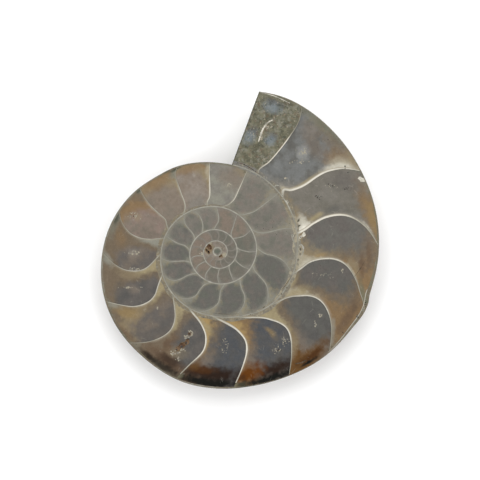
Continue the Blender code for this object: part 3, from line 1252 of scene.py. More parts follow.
@dataclass
class MouthCut:
    """The sawn surface across the mouth: rock inside, and the shell's edge round it."""

    rows: int = 40
    columns: int = 30
    proud: float = 0.02 * MM
    thickness: float = 0.12 * MM
    shell_edge: float = 0.5 * MM
    edge_points: int = 200

    def build(self) -> Piece:
        """Builds the surface as a thin slab over the end of the body."""

        def place(x: float, y: float) -> Vector:
            """The point between the step of the whorl before and the mouth's own flank."""
            inner = FLANK.point(FLANK.first, FLANK.seam_height + (1 - FLANK.seam_height) * x)
            outer = FLANK.point(COIL.mouth_angle, x)
            return inner.lerp(outer, y)

        piece = Bench.sheet("mouth_cut", self.columns, self.rows, place)
        edge = [FLANK.point(COIL.mouth_angle, i / self.edge_points) for i in range(self.edge_points + 1)]
        skin = []
        for vertex in piece.data.vertices:
            nearest = min((vertex.co - point).length for point in edge)
            skin.append(1 - smooth(nearest / self.shell_edge))
        Bench.tag(piece, "glow", skin)
        direction = math.radians(COIL.mouth_cut_direction)
        outward = Vector((-math.sin(direction), math.cos(direction), 0.0))
        if piece.data.polygons[len(piece.data.polygons) // 2].normal.dot(outward) < 0:
            piece.data.flip_normals()
        piece.data.transform(Matrix.Translation(outward * self.proud))
        Bench.thicken(piece, self.thickness)
        return piece


@dataclass
class Strips:
    """Strips of old shell let into the sawn face."""

    depth: float = 0.25 * MM
    samples: int = 56
    ring_samples: int = 72
    made: list[Piece] = field(default_factory=list)

    def septum(self, septum: Septum, height: float) -> None:
        """Adds the strip of one septum.

        Args:
            septum: Its curve, width and brightness.
            height: How far its top is over the sawn face.
        """
        line = septum.line()
        steps = range(self.samples + 1)
        shares = [septum.reach * (0.5 - 0.5 * math.cos(math.pi * i / self.samples)) for i in steps]
        centres = [COIL.place(line(share), share, height) for share in shares]
        foot, middle, tip = septum.glow
        glows, widths = [], []
        for share in shares:
            near, far = smooth(1 - share / 0.4), smooth((share - 0.55) / 0.35)
            merge = 0.3 + 0.7 * smooth(share / 0.08)
            glows.append((foot * near + tip * far + middle * (1 - near - far)) * merge)
            ragged = 1 + 0.25 * noise.noise((share * 9, septum.points_mm[0][0], 0.0))
            end = smooth((share - 0.9) / 0.08)
            widths.append(septum.width_mm * MM * (1 + 0.2 * near - 0.35 * far - 0.3 * end) * ragged)
        self.add(centres, widths, glows)

    def add(self, centres: Sequence[Vector], widths: Sequence[float], glows: Sequence[float]) -> None:
        """Adds a strip with these middle points, widths and brightnesses."""
        piece = ribbon("strip", centres, widths, self.depth)
        self.glow(piece, centres, glows)
        self.made.append(piece)

    @staticmethod
    def glow(piece: Piece, centres: Sequence[Vector], glows: Sequence[float]) -> None:
        """Writes on each point the brightness of the nearest place of the strip's middle line."""
        tree = KDTree(len(centres))
        for i, centre in enumerate(centres):
            tree.insert(centre, i)
        tree.balance()
        Bench.tag(piece, "glow", [glows[tree.find(vertex.co)[1]] for vertex in piece.data.vertices])

    def wall(
        self,
        first: float,
        last: float,
        width: Curve,
        glow: Curve,
        height: float,
        shift: Curve = lambda angle: 0.0,
        step: float = 2.0,
    ) -> None:
        """Adds a strip along the spiral.

        Args:
            first: The angle it starts at.
            last: The angle it ends at.
            width: Its width at an angle.
            glow: Its brightness at an angle.
            height: How far its top is over the sawn face.
            shift: How far its middle lies outside the spiral at an angle.
            step: Degrees between its points.
        """
        count = round((last - first) / step)
        angles = [first + (last - first) * i / count for i in range(count + 1)]
        centres = [COIL.polar(angle, COIL.wall(angle) + shift(angle), height) for angle in angles]
        self.add(centres, [width(angle) for angle in angles], [glow(angle) for angle in angles])

    def ring(self, at: Pair, radius: float, width: float, glow: float, height: float) -> None:
        """Adds a ragged ring.

        Args:
            at: Its middle, from the coil's axis.
            radius: The radius of its middle line.
            width: Its width.
            glow: Its brightness.
            height: How far its top is over the sawn face.
        """
        centres, widths, glows = [], [], []
        for i in range(self.ring_samples + 1):
            turned = math.tau * i / self.ring_samples
            x, y = at[0] + radius * math.cos(turned), at[1] + radius * math.sin(turned)
            centres.append(COIL.polar(0.0, 0.0, height) + Vector((x, y, 0.0)))
            rough = noise.noise((math.cos(turned) * 1.6, math.sin(turned) * 1.6, 0.5))
            widths.append(width * (1 + 0.7 * rough))
            glows.append(glow * (1 + rough - 0.6 * math.sin(turned)))
        self.add(centres, widths, glows)

    def join(self, name: str) -> Piece:
        """Makes the strips one piece."""
        piece = Bench.join(self.made, name)
        self.made = []
        return piece


LAST_WHORL = (
    ChamberStone(
        1, Tint.PEARL, Tint.PUTTY, (Tint.PEARL, Tint.SAGE), (Tint.PEARL, Tint.SAGE),
        (
            Stain(Tint.FAWN, (0.3, 0.75), (0.6, 0.35), 0.8),
            Stain(Tint.TAN, (0.15, 0.93), (0.3, 0.12), 0.6),
            Stain(Tint.PUTTY, (0.35, 0.63), (0.2, 0.12), 0.4),
        ),
        (0.8, 0.5), (1.0, 0.7), mottle=0.36,
    ),
    ChamberStone(
        2, Tint.ROSE_GREY, Tint.FAWN, (Tint.FAWN, Tint.PUTTY), (Tint.TAN, Tint.OCHRE),
        (
            Stain(Tint.OCHRE, (0.62, 0.93), (0.5, 0.14), 0.8),
            Stain(Tint.PEARL, (0.5, 0.15), (0.6, 0.3), 0.7),
            Stain(Tint.SAND, (0.04, 0.85), (0.12, 0.2), 0.7),
            Stain(Tint.FOREST, (1.0, 0.975), (0.2, 0.045), 0.8),
        ),
        (0.7, 0.45), (0.72, 0.55), mottle=0.5,
    ),
    ChamberStone(
        3, Tint.FAWN, Tint.CLAY, (Tint.FAWN, Tint.SAGE), (Tint.TAN, Tint.OCHRE),
        (
            Stain(Tint.OCHRE, (0.55, 0.93), (0.6, 0.2), 0.8),
            Stain(Tint.SAGE, (0.02, 0.9), (0.2, 0.16), 0.9),
            Stain(Tint.FOREST, (0.03, 0.97), (0.22, 0.045), 0.8),
        ),
        (0.75, 0.42), (0.9, 0.52), mottle=0.5,
    ),
    ChamberStone(
        4, Tint.DUSTY_ROSE, Tint.CLAY, (Tint.FAWN, Tint.SAGE), (Tint.OCHRE, Tint.DRAB),
        (
            Stain(Tint.OCHRE, (0.5, 0.88), (0.5, 0.16), 0.5),
            Stain(Tint.FOREST, (0.03, 0.97), (0.2, 0.045), 0.7),
            Stain(Tint.TAUPE, (0.85, 0.3), (0.3, 0.4), 0.8),
            Stain(Tint.TAN, (0.5, 0.7), (0.2, 0.1), 0.5),
        ),
        (0.8, 0.42), (0.85, 0.5), mottle=0.5,
    ),
    ChamberStone(
        5, Tint.MAUVE, Tint.TAUPE, (Tint.DRAB, Tint.PUTTY), (Tint.DRAB, Tint.DRAB),
        (
            Stain(Tint.ROSE_GREY, (0.48, 0.55), (0.22, 0.16), 0.7),
            Stain(Tint.OCHRE, (0.3, 0.8), (0.3, 0.14), 0.6),
            Stain(Tint.SAGE, (0.3, 0.95), (0.4, 0.07), 0.6),
            Stain(Tint.FOREST, (0.12, 0.965), (0.22, 0.05), 0.7),
            Stain(Tint.PUTTY, (0.98, 0.93), (0.12, 0.1), 0.7),
        ),
        (0.85, 0.46), (0.66, 0.4),
    ),
    ChamberStone(
        6, Tint.MAUVE, Tint.SMOKE, (Tint.DRAB, Tint.STRAW), (Tint.DRAB, Tint.DRAB),
        (
            Stain(Tint.PUTTY, (0.04, 0.92), (0.16, 0.12), 0.8),
            Stain(Tint.STRAW, (0.1, 0.16), (0.3, 0.2), 0.6),
            Stain(Tint.TAN, (0.12, 0.62), (0.2, 0.3), 0.6),
            Stain(Tint.FAWN, (0.52, 0.6), (0.2, 0.14), 0.6),
        ),
        (0.95, 0.5), (0.76, 0.44),
    ),
    ChamberStone(
        7, Tint.MAUVE, Tint.TAUPE, (Tint.DRAB, Tint.STRAW), (Tint.TAN, Tint.DRAB),
        (
            Stain(Tint.HONEY, (0.17, 0.8), (0.26, 0.2), 0.7),
            Stain(Tint.SMOKE, (0.85, 0.6), (0.25, 0.5), 0.6),
            Stain(Tint.PUTTY, (0.02, 0.92), (0.14, 0.12), 0.7),
            Stain(Tint.BISTRE, (0.8, 0.97), (0.4, 0.08), 0.7),
        ),
        (0.95, 0.52), (0.84, 0.46),
    ),
    ChamberStone(
        8, Tint.SMOKE, Tint.MAUVE, (Tint.DRAB, Tint.STRAW), (Tint.BISTRE, Tint.DRAB),
        (
            Stain(Tint.TAN, (0.55, 0.74), (0.3, 0.14), 0.5),
            Stain(Tint.BISTRE, (0.45, 0.87), (0.7, 0.1), 0.8),
            Stain(Tint.UMBER, (0.66, 0.86), (0.42, 0.09), 0.7),
            Stain(Tint.UMBER, (0.35, 0.95), (0.3, 0.05), 0.8),
            Stain(Tint.INK, (0.7, 0.955), (0.6, 0.06), 0.8),
            Stain(Tint.DRAB, (0.99, 0.93), (0.05, 0.07), 0.6),
        ),
        (1.0, 0.5), (0.84, 0.42), tips=0.5,
    ),
    ChamberStone(
        9, Tint.SLATE, Tint.SMOKE, (Tint.DRAB, Tint.WHEAT), (Tint.TAUPE, Tint.BISTRE),
        (
            Stain(Tint.STRAW, (0.12, 0.2), (0.22, 0.2), 0.7),
            Stain(Tint.SLATE, (0.16, 0.5), (0.14, 0.16), 0.6),
            Stain(Tint.UMBER, (0.55, 0.87), (1.0, 0.14), 1.0),
            Stain(Tint.RUST, (0.25, 0.82), (0.36, 0.07), 0.9),
            Stain(Tint.AMBER, (0.1, 0.8), (0.14, 0.07), 0.7),
            Stain(Tint.INK, (0.55, 0.955), (1.0, 0.075), 1.0),
            Stain(Tint.OLIVE, (0.0, 0.96), (0.09, 0.05), 0.9),
        ),
        (1.0, 0.56), (0.84, 0.5), tips=0.0,
    ),
    ChamberStone(
        10, Tint.SLATE, Tint.SMOKE, (Tint.OCHRE, Tint.WHEAT), (Tint.TAUPE, Tint.OCHRE),
        (
            Stain(Tint.SLATE, (0.85, 0.16), (0.16, 0.14), 0.6),
            Stain(Tint.HONEY, (0.67, 0.42), (0.1, 0.16), 0.6),
            Stain(Tint.UMBER, (0.72, 0.89), (0.6, 0.13), 1.0),
            Stain(Tint.ORANGE, (0.18, 0.87), (0.42, 0.17), 1.0),
            Stain(Tint.INK, (0.65, 0.965), (0.8, 0.06), 1.0),
            Stain(Tint.FOREST, (0.1, 0.97), (0.2, 0.05), 0.8),
            Stain(Tint.RUST, (0.07, 0.9), (0.12, 0.05), 0.8),
            Stain(Tint.OLIVE, (0.0, 0.97), (0.09, 0.04), 0.9),
        ),
        (1.0, 0.54), (0.92, 0.49), tips=0.0,
    ),
    ChamberStone(
        11, Tint.SMOKE, Tint.LEAD, (Tint.DRAB, Tint.STRAW), (Tint.TAUPE, Tint.AMBER),
        (
            Stain(Tint.LEAD, (0.97, 0.2), (0.14, 0.16), 0.6),
            Stain(Tint.AMBER, (0.45, 0.92), (0.75, 0.12), 1.0),
            Stain(Tint.RUST, (0.5, 0.92), (0.5, 0.06), 0.9),
            Stain(Tint.INK, (0.45, 0.96), (0.3, 0.025), 1.0),
            Stain(Tint.TAN, (0.06, 0.7), (0.16, 0.2), 0.8),
        ),
        (1.0, 0.54), (0.86, 0.46), tips=0.0,
    ),
    ChamberStone(
        12, Tint.LEAD, Tint.MAUVE, (Tint.DRAB, Tint.SAND), (Tint.DRAB, Tint.OCHRE),
        (
            Stain(Tint.BISTRE, (0.45, 0.9), (0.6, 0.08), 0.8),
            Stain(Tint.STRAW, (0.1, 0.18), (0.3, 0.24), 0.8),
            Stain(Tint.STRAW, (0.65, 0.04), (0.35, 0.1), 0.8),
            Stain(Tint.PUTTY, (0.03, 0.86), (0.12, 0.12), 0.7),
        ),
        (0.95, 0.46), (0.8, 0.42), tips=0.5,
    ),
    ChamberStone(
        13, Tint.MAUVE, Tint.DOVE, (Tint.TAN, Tint.SAND), (Tint.DRAB, Tint.OCHRE),
        (
            Stain(Tint.BISTRE, (0.62, 0.91), (0.3, 0.04), 0.7),
            Stain(Tint.BISTRE, (0.3, 0.86), (0.3, 0.05), 0.8),
            Stain(Tint.TAN, (0.12, 0.78), (0.16, 0.12), 0.7),
            Stain(Tint.SAND, (0.0, 0.76), (0.08, 0.16), 0.8),
            Stain(Tint.HONEY, (0.1, 0.36), (0.08, 0.12), 0.5),
            Stain(Tint.OLIVE, (0.06, 0.93), (0.15, 0.1), 0.8),
            Stain(Tint.BONE, (0.02, 0.14), (0.2, 0.16), 0.5),
        ),
        (1.0, 0.5), (0.94, 0.46), Tint.SAND, tips=0.5, mottle=0.44,
    ),
    ChamberStone(
        14, Tint.HAZE, Tint.STONE, (Tint.TAN, Tint.BONE), (Tint.PEARL, Tint.OCHRE),
        (
            Stain(Tint.STRAW, (0.12, 0.34), (0.1, 0.16), 0.9),
            Stain(Tint.BONE, (0.18, 0.12), (0.26, 0.12), 0.9),
            Stain(Tint.CREAM, (0.02, 0.14), (0.14, 0.16), 1.0),
            Stain(Tint.OCHRE, (0.35, 0.96), (0.6, 0.14), 0.9),
            Stain(Tint.HONEY, (0.3, 0.97), (0.35, 0.08), 0.6),
            Stain(Tint.PEARL, (0.5, 0.6), (0.3, 0.2), 0.5),
            Stain(Tint.MAUVE, (0.75, 0.8), (0.3, 0.2), 0.6),
            Stain(Tint.DOVE, (0.15, 0.6), (0.13, 0.16), 0.8),
            Stain(Tint.BONE, (0.0, 0.9), (0.1, 0.09), 0.8),
        ),
        (0.9, 0.57), (1.12, 0.6), Tint.BONE,
    ),
    ChamberStone(
        15, Tint.ASH, Tint.LEAD, (Tint.PEARL, Tint.SAND), (Tint.PEARL, Tint.STRAW),
        (
            Stain(Tint.OCHRE, (0.2, 0.88), (0.22, 0.2), 0.8),
            Stain(Tint.SAND, (0.1, 0.88), (0.16, 0.16), 0.9),
            Stain(Tint.BONE, (0.03, 0.82), (0.1, 0.26), 0.9),
            Stain(Tint.OLIVE, (0.7, 0.96), (0.5, 0.07), 0.7),
            Stain(Tint.MIST, (0.58, 0.63), (0.2, 0.12), 0.5),
            Stain(Tint.FAWN, (0.75, 0.85), (0.25, 0.16), 0.5),
            Stain(Tint.DRAB, (0.4, 0.92), (0.35, 0.1), 0.6),
            Stain(Tint.TAUPE, (0.45, 0.76), (0.35, 0.14), 0.6),
            Stain(Tint.STRAW, (0.03, 0.4), (0.07, 0.4), 0.7),
            Stain(Tint.BONE, (0.0, 0.22), (0.07, 0.14), 0.8),
            Stain(Tint.TAN, (0.12, 0.98), (0.2, 0.06), 0.7),
        ),
        (0.9, 0.55), (0.98, 0.6), mottle=0.44,
    ),
)


SECOND_WHORL_STONE = WhorlStone("second_whorl_stone", Tint.DOVE, Tint.HAZE, Tint.STRAW, Tint.PUTTY)
THIRD_WHORL_STONE = WhorlStone("third_whorl_stone", Tint.STONE, Tint.FAWN, Tint.PUTTY, Tint.PEARL, seed=5.0)
INMOST_WHORL_STONE = WhorlStone(
    "inmost_whorl_stone", Tint.STONE, Tint.FAWN, Tint.PEARL, Tint.PEARL, (0.6, 0.5), (0.5, 0.5), 9.0
)


# Bands along the spiral, by angle: widths in mm, how far they lean outwards as a share of it, and brightness.
CEMENT_MM = (
    (-300, 0.5), (-250, 0.7), (-200, 1.2), (-170, 1.4), (-140, 1.2), (-100, 1.1), (-60, 1.4), (-30, 1.7),
    (0, 1.9), (20, 1.7), (40, 1.6), (60, 1.5), (84, 1.4),
)
CEMENT_LEAN = ((-300, 0.3), (-60, 0.3), (-20, 0.0), (5, -0.12), (40, 0.05), (84, 0.3))
CEMENT_GLOW = (
    (-300, 0.3), (-180, 0.45), (-60, 0.65), (-30, 0.75), (15, 0.85), (35, 0.55), (55, 0.2), (84, 0.1),
)
SHELL_MM = (
    (76, 0.35), (110, 0.3), (124, 0.4), (132, 0.3), (165, 0.35), (185, 0.4), (205, 0.5), (215, 0.5),
    (235, 0.35), (241, 0.25), (253, 0.3), (265, 0.4), (277, 0.3), (290, 0.2), (300, 0.12), (316, 0.15),
    (325, 0.4), (335, 0.75), (343, 1.0), (349, 0.75), (356, 0.55), (368, 0.45), (385, 0.2), (436, 0.2),
)
SHELL_GLOW = (
    (76, 0.6), (112, 0.6), (122, 0.3), (130, 0.65), (165, 0.75), (200, 0.75), (208, 0.35), (233, 0.4),
    (240, 0.8), (250, 0.65), (256, 0.95), (270, 0.9), (280, 0.2), (290, 0.2), (300, 0.4), (325, 0.6),
    (335, 0.5), (345, 0.45), (352, 0.5), (400, 0.55), (424, 0.4), (436, 0.7),
)
NACRE_GLOW = ((318, 0.3), (330, 0.5), (345, 0.5))


@dataclass
class SawnFace:
    """The mosaic of the sawn and polished face."""

    slab: float = 0.3 * MM
    strip_height: float = 0.012 * MM
    wall_height: float = 0.016 * MM
    cement_height: float = 0.006 * MM
    shell_height: float = 0.01 * MM
    cover_angle: float = 80.0
    heart_radius: float = 11.2 * MM
    heart_sink: float = 0.006 * MM

    def last_whorl(self) -> list[Piece]:
        """Fills the chambers of the last whorl, each with a slab of its own."""
        made = []
        for stone, older, younger in zip(LAST_WHORL, LAST_WHORL_SEPTA, LAST_WHORL_SEPTA[1:]):
            piece = chamber_slab(stone.name, older.line(), younger.line(), self.slab)
            Bench.finish(piece, stone.material())
            made.append(piece)
        return made

    def body_chamber(self) -> Piece:
        """Fills the body chamber, which is open to the mouth, with rock."""
        piece = chamber_slab("body_chamber", LAST_WHORL_SEPTA[-1].line(), COIL.mouth, self.slab)
        patches = (((0.62, 0.87), (0.3, 0.08)), ((0.82, 0.47), (0.22, 0.14)), ((0.33, 0.52), (0.2, 0.1)))
        Bench.finish(piece, RockFill("body_rock", patches).material())
        return piece

    def inner_whorl(self, name: str, septa: Sequence[Septum], stone: WhorlStone) -> Piece:
        """Fills the chambers of an inner whorl, as one piece.

        Args:
            name: The piece's name.
            septa: The septa of the whorl and the first one of the next.
            stone: The stone that fills them.

        Returns:
            The filled whorl.
        """
        draw = random.Random(len(septa))
        slabs = []
        for i, (older, younger) in enumerate(zip(septa, septa[1:])):
            slab = chamber_slab(name, older.line(), younger.line(), self.slab, faces=(20, 16))
            clearness = i / (len(septa) - 2)
            clearness *= 1 - 0.95 * smooth((clearness - 0.68) / 0.15)  # the last third is clouded again
            Bench.tag(slab, "tone", min(max(clearness + draw.uniform(-0.1, 0.1), 0.0), 1.0))
            slabs.append(slab)
        piece = Bench.join(slabs, name)
        Bench.finish(piece, stone.material())
        return piece

    def heart(self) -> Piece:
        """Lays the round slab that the innermost turns are cut in."""
        bpy.ops.mesh.primitive_cylinder_add(
            vertices=96,
            radius=self.heart_radius,
            depth=self.slab,
            location=(COIL.axis_x, COIL.axis_y, TOP - self.slab / 2 - self.heart_sink),
        )
        piece = bpy.context.active_object
        piece.name = "heart_stone"
        bpy.ops.object.transform_apply()
        return piece

    def septa(self) -> None:
        """Lets the septa into the face."""
        strips = Strips()
        for name, septa, stone in (
            ("septa_last_whorl", LAST_WHORL_SEPTA, ShellStrip("septum_shell")),
            (
                "septa_inner_whorls",
                SECOND_WHORL_SEPTA + THIRD_WHORL_SEPTA,
                ShellStrip("inner_septum_shell", edge=Tint.PEARL, melt=0.6),
            ),
            (
                "septa_inmost_whorls",
                INMOST_SEPTA,
                ShellStrip("inmost_septum_shell", Tint.PEARL, Tint.SAND, Tint.CLAY, 0.7),
            ),
        ):
            for septum in septa:
                strips.septum(septum, self.strip_height)
            Bench.finish(strips.join(name), stone.material())

    @staticmethod
    def fray(angle: float) -> float:
        """A factor about 1 that makes a band's width uneven."""
        return 1 + 0.4 * noise.noise((angle / 9, 0.0, 0.0)) + 0.15 * noise.noise((angle / 4, 5.0, 0.0))

    def whorl_walls(self) -> None:
        """Lets the spiral wall, and the cement on its outer side, into the face."""
        strips = Strips()
        width, lean = reader(CEMENT_MM, MM), reader(CEMENT_LEAN)
        strips.wall(
            -300.0,
            self.cover_angle,
            lambda angle: width(angle) * self.fray(angle),
            reader(CEMENT_GLOW),
            self.cement_height,
            lambda angle: width(angle) * lean(angle),
            1.0,
        )
        cement = Cement("whorl_cement", Tint.ASH, Tint.KHAKI, Tint.SAND, Tint.STONE)
        Bench.finish(strips.join("cement_band"), cement.material())
        strips.wall(
            COIL.first_angle,
            self.cover_angle,
            lambda angle: (0.2 + 0.1 * smooth((angle + 1400) / 1200)) * MM * self.fray(angle),
            lambda angle: (0.3 - 0.1 * smooth((angle + 400) / 300)) * self.fray(angle + TURN),
            self.wall_height,
        )
        strips.ring((-0.05 * MM, 0.18 * MM), 1.0 * MM, 0.3 * MM, 0.2, self.wall_height)
        stone = ShellStrip("wall_shell", edge=Tint.PEARL, melt=0.6)
        Bench.finish(strips.join("whorl_wall"), stone.material())

    def outer_shell(self) -> None:
        """Lets the shell of the last whorl into the face, and a glint of nacre inside it."""
        strips = Strips()
        width = reader(SHELL_MM, MM)
        strips.wall(
            FLANK.first,
            COIL.mouth_angle - 0.4,
            width,
            reader(SHELL_GLOW),
            self.shell_height,
            lambda angle: -0.05 * MM - width(angle) / 2,
            1.0,
        )
        shell = Cement("outer_shell", Tint.FOREST, Tint.OLIVE, Tint.PUTTY, Tint.DRAB)
        Bench.finish(strips.join("outer_shell"), shell.material())
        strips.wall(
            318.0,
            346.0,
            lambda angle: 0.18 * MM,
            reader(NACRE_GLOW),
            self.wall_height,
            lambda angle: -0.06 * MM - width(angle),
            1.0,
        )
        Bench.finish(strips.join("inner_nacre"), ShellStrip("nacre", edge=Tint.FAWN, melt=0.6).material())


@dataclass(frozen=True)
class Pocket:
    """One open pocket: ellipsoids that run into each other.

    Each is a place from the coil's axis in mm, half sizes in mm, and the direction it lies in.
    """

    name: str
    hollows: tuple[tuple[Pair, tuple[float, float, float], float], ...]

    def blob(self) -> Piece:
        """The shape of the empty space, and as much again over the face."""
        parts = []
        for place, half, direction in self.hollows:
            bpy.ops.mesh.primitive_ico_sphere_add(subdivisions=4, radius=1.0)
            part = bpy.context.active_object
            for vertex in part.data.vertices:
                rough = noise.noise(vertex.co * 1.7 + Vector((place[0], place[1], 0)))
                vertex.co *= 1 + 0.16 * rough
            size = Matrix.Diagonal((half[0] * MM, half[1] * MM, half[2] * MM, 1.0))
            turn = Matrix.Rotation(math.radians(direction), 4, "Z")
            x, y = COIL.axis_x + place[0] * MM, COIL.axis_y + place[1] * MM
            part.data.transform(Matrix.Translation((x, y, TOP)) @ turn @ size)
            parts.append(part)
        whole = parts[0]
        for part in parts[1:]:
            Bench.modify(whole, "BOOLEAN", operation="UNION", object=part)
            bpy.data.objects.remove(part)
        whole.name = self.name
        return whole


POCKETS = (
    Pocket("long_pocket", (
        ((-9.90, -24.05), (0.85, 0.65, 0.45), 30.0),
        ((-8.80, -23.25), (1.05, 0.72, 0.55), 38.0),
        ((-7.60, -22.40), (0.80, 0.55, 0.45), 70.0),
    )),
    Pocket("round_pocket", (((-6.95, -20.40), (0.52, 0.46, 0.34), 60.0),)),
    Pocket("heart_pocket_high", (((-2.12, 1.42), (0.90, 0.56, 0.60), -46.0),)),
    Pocket("heart_pocket_low", (
        ((-2.75, 0.50), (0.50, 0.32, 0.40), -60.0),
        ((-2.25, 0.02), (0.52, 0.36, 0.50), -55.0),
    )),
    Pocket("small_pocket", (
        ((0.62, -0.98), (0.36, 0.24, 0.40), 50.0),
        ((0.92, -0.86), (0.42, 0.22, 0.40), -50.0),
    )),
)


@dataclass
class Pockets:
    """The open pockets, cut into the stone and lined with crystals."""

    lining: float = 0.07 * MM
    lip: float = 0.11 * MM

    def cut(self, pieces: Sequence[Piece]) -> None:
        """Cuts the pockets into these pieces, and lines them."""
        blobs = [pocket.blob() for pocket in POCKETS]
        for piece in pieces:
            for blob in blobs:
                if self.meets(piece, blob):
                    Bench.modify(piece, "BOOLEAN", operation="DIFFERENCE", object=blob)
        lining = Bench.join(blobs, "pocket_lining")
        self.open_top(lining)
        lining.data.flip_normals()
        Bench.modify(lining, "SOLIDIFY", thickness=self.lining, offset=1.0)
        Bench.finish(lining, Druse().material())

    @staticmethod
    def meets(piece: Piece, blob: Piece) -> bool:
        """Whether a pocket's box lies over a piece's box."""
        boxes = []
        for item in (piece, blob):
            corners = [item.matrix_world @ Vector(corner) for corner in item.bound_box]
            boxes.append([[pick(c[i] for c in corners) for i in range(3)] for pick in (min, max)])
        (low, high), (low2, high2) = boxes
        return all(low[i] < high2[i] and low2[i] < high[i] for i in range(3))

    def open_top(self, piece: Piece) -> None:
        """Takes away all that stands above the sawn face."""
        Bench.pick(piece)
        bpy.ops.object.mode_set(mode="EDIT")
        bpy.ops.mesh.select_all(action="SELECT")
        bpy.ops.mesh.bisect(plane_co=(0, 0, TOP - self.lip), plane_no=(0, 0, 1), clear_outer=True)
        bpy.ops.object.mode_set(mode="OBJECT")


@dataclass(frozen=True)
class Cluster:
    """Grains in the face: place from the axis and spread in mm, count, size in mm, and longest to widest."""

    at: Pair
    spread: Pair
    count: int
    size: float
    long: float = 1.8


PALE_CLUSTERS = tuple(Cluster(*row) for row in (
    ((2.8, 16.7), (0.5, 0.6), 10, 0.2), ((-20.9, 9.0), (1.3, 0.8), 26, 0.2),
    ((-21.2, -0.2), (1.1, 0.5), 24, 0.24), ((-20.5, -4.2), (2.4, 0.3), 22, 0.2),
    ((-22.4, -8.9), (2.0, 0.2), 18, 0.24, 3.5), ((-15.0, -13.9), (0.15, 0.3), 5, 0.26),
    ((-10.3, -25.3), (1.0, 0.45), 14, 0.32), ((-9.8, -26.7), (0.6, 0.3), 8, 0.26),
    ((-8.9, -24.4), (0.5, 0.2), 8, 0.24), ((-7.6, -21.3), (0.6, 0.25), 14, 0.3),
    ((-6.35, -20.3), (0.15, 0.5), 9, 0.28), ((-7.0, -19.7), (0.3, 0.12), 6, 0.26),
    ((-4.0, -0.4), (0.35, 0.3), 12, 0.26), ((-4.15, 1.3), (0.2, 0.4), 6, 0.2),
    ((36.4, -14.3), (0.2, 0.35), 8, 0.3), ((12.2, 31.6), (0.6, 0.3), 9, 0.34, 3.0),
    ((10.9, 28.6), (0.3, 0.6), 8, 0.34, 3.0), ((2.0, -23.5), (0.9, 1.6), 26, 0.16, 4.0),
    ((14.6, -24.3), (0.9, 1.0), 24, 0.2, 3.0), ((16.8, -22.0), (0.6, 0.8), 22, 0.18),
    ((25.8, -15.9), (0.35, 0.4), 14, 0.24, 2.5), ((24.4, -17.9), (0.3, 0.4), 12, 0.2, 2.5),
    ((31.3, -4.6), (0.3, 0.4), 8, 0.22, 3.0), ((27.0, -5.6), (2.0, 0.7), 14, 0.16, 3.0),
    ((21.6, 25.0), (1.0, 0.6), 30, 0.24), ((20.6, 22.6), (1.6, 0.9), 16, 0.2),
    ((17.0, 18.6), (0.4, 0.3), 7, 0.22), ((28.6, 16.4), (1.4, 0.7), 14, 0.16),
    ((13.0, 31.2), (1.4, 0.3), 16, 0.2), ((12.2, 23.4), (1.3, 0.5), 18, 0.18),
    ((9.3, 29.2), (0.8, 0.7), 9, 0.16),
))
DARK_CLUSTERS = tuple(Cluster(*row) for row in (
    ((-20.9, 9.0), (0.1, 0.1), 2, 0.2, 1.2), ((25.5, 14.0), (1.0, 0.7), 16, 0.2, 1.3),
    ((28.6, 16.7), (0.8, 0.5), 9, 0.24, 1.3), ((32.2, 15.9), (0.5, 0.5), 7, 0.22, 1.3),
    ((31.9, 21.4), (0.3, 0.3), 4, 0.34, 1.3), ((32.8, 20.0), (0.25, 0.15), 4, 0.3, 1.3),
    ((15.4, -24.5), (0.7, 0.3), 8, 0.24, 1.4), ((24.2, -3.0), (3.0, 1.5), 10, 0.12, 1.2),
    ((26.0, 27.0), (3.5, 2.5), 12, 0.16, 1.2), ((14.5, 6.5), (3.5, 3.0), 16, 0.12, 1.2),
    ((32.1, -20.2), (0.5, 0.4), 9, 0.2, 1.6), ((35.2, -16.4), (0.4, 0.7), 14, 0.22, 1.6),
    ((37.0, -12.9), (0.3, 0.7), 12, 0.22, 1.6),
))


@dataclass
class Grains:
    """Small grains and needles of calcite, and dark specks, let into the sawn face."""

    thickness: float = 0.06 * MM
    sink: float = 0.02 * MM

    def build(self, name: str, clusters: Sequence[Cluster], height: float) -> Piece:
        """Scatters the grains of these clusters.

        Args:
            name: The piece's name.
            clusters: Where and how large they are.
            height: How far they stand over the sawn face.

        Returns:
            All the grains as one piece.
        """
        draw = random.Random(name)
        axis = Vector((COIL.axis_x, COIL.axis_y))
        bpy.ops.mesh.primitive_ico_sphere_add(subdivisions=2, radius=0.5)
        model = bpy.context.active_object
        for vertex in model.data.vertices:
            vertex.co *= 1 + 0.7 * noise.noise(vertex.co * 3.1)
        places = []
        for cluster in clusters:
            for _ in range(cluster.count):
                x = (cluster.at[0] + draw.gauss(0, cluster.spread[0] / 1.6)) * MM
                y = (cluster.at[1] + draw.gauss(0, cluster.spread[1] / 1.6)) * MM
                size = cluster.size * draw.uniform(0.6, 1.8) * MM
                long = draw.uniform(1.0, cluster.long)
                scale = Matrix.Diagonal((size * long ** 0.5, size / long ** 0.5, self.thickness, 1.0))
                turn = Matrix.Rotation(draw.uniform(0, math.tau), 4, "Z")
                if math.hypot(x, y) < COIL.rim(x, y) - size:
                    place = Vector((*(axis + Vector((x, y))), TOP - self.sink + height))
                    places.append(Matrix.Translation(place) @ turn @ scale)
        return Bench.place_copies(model, places, name)


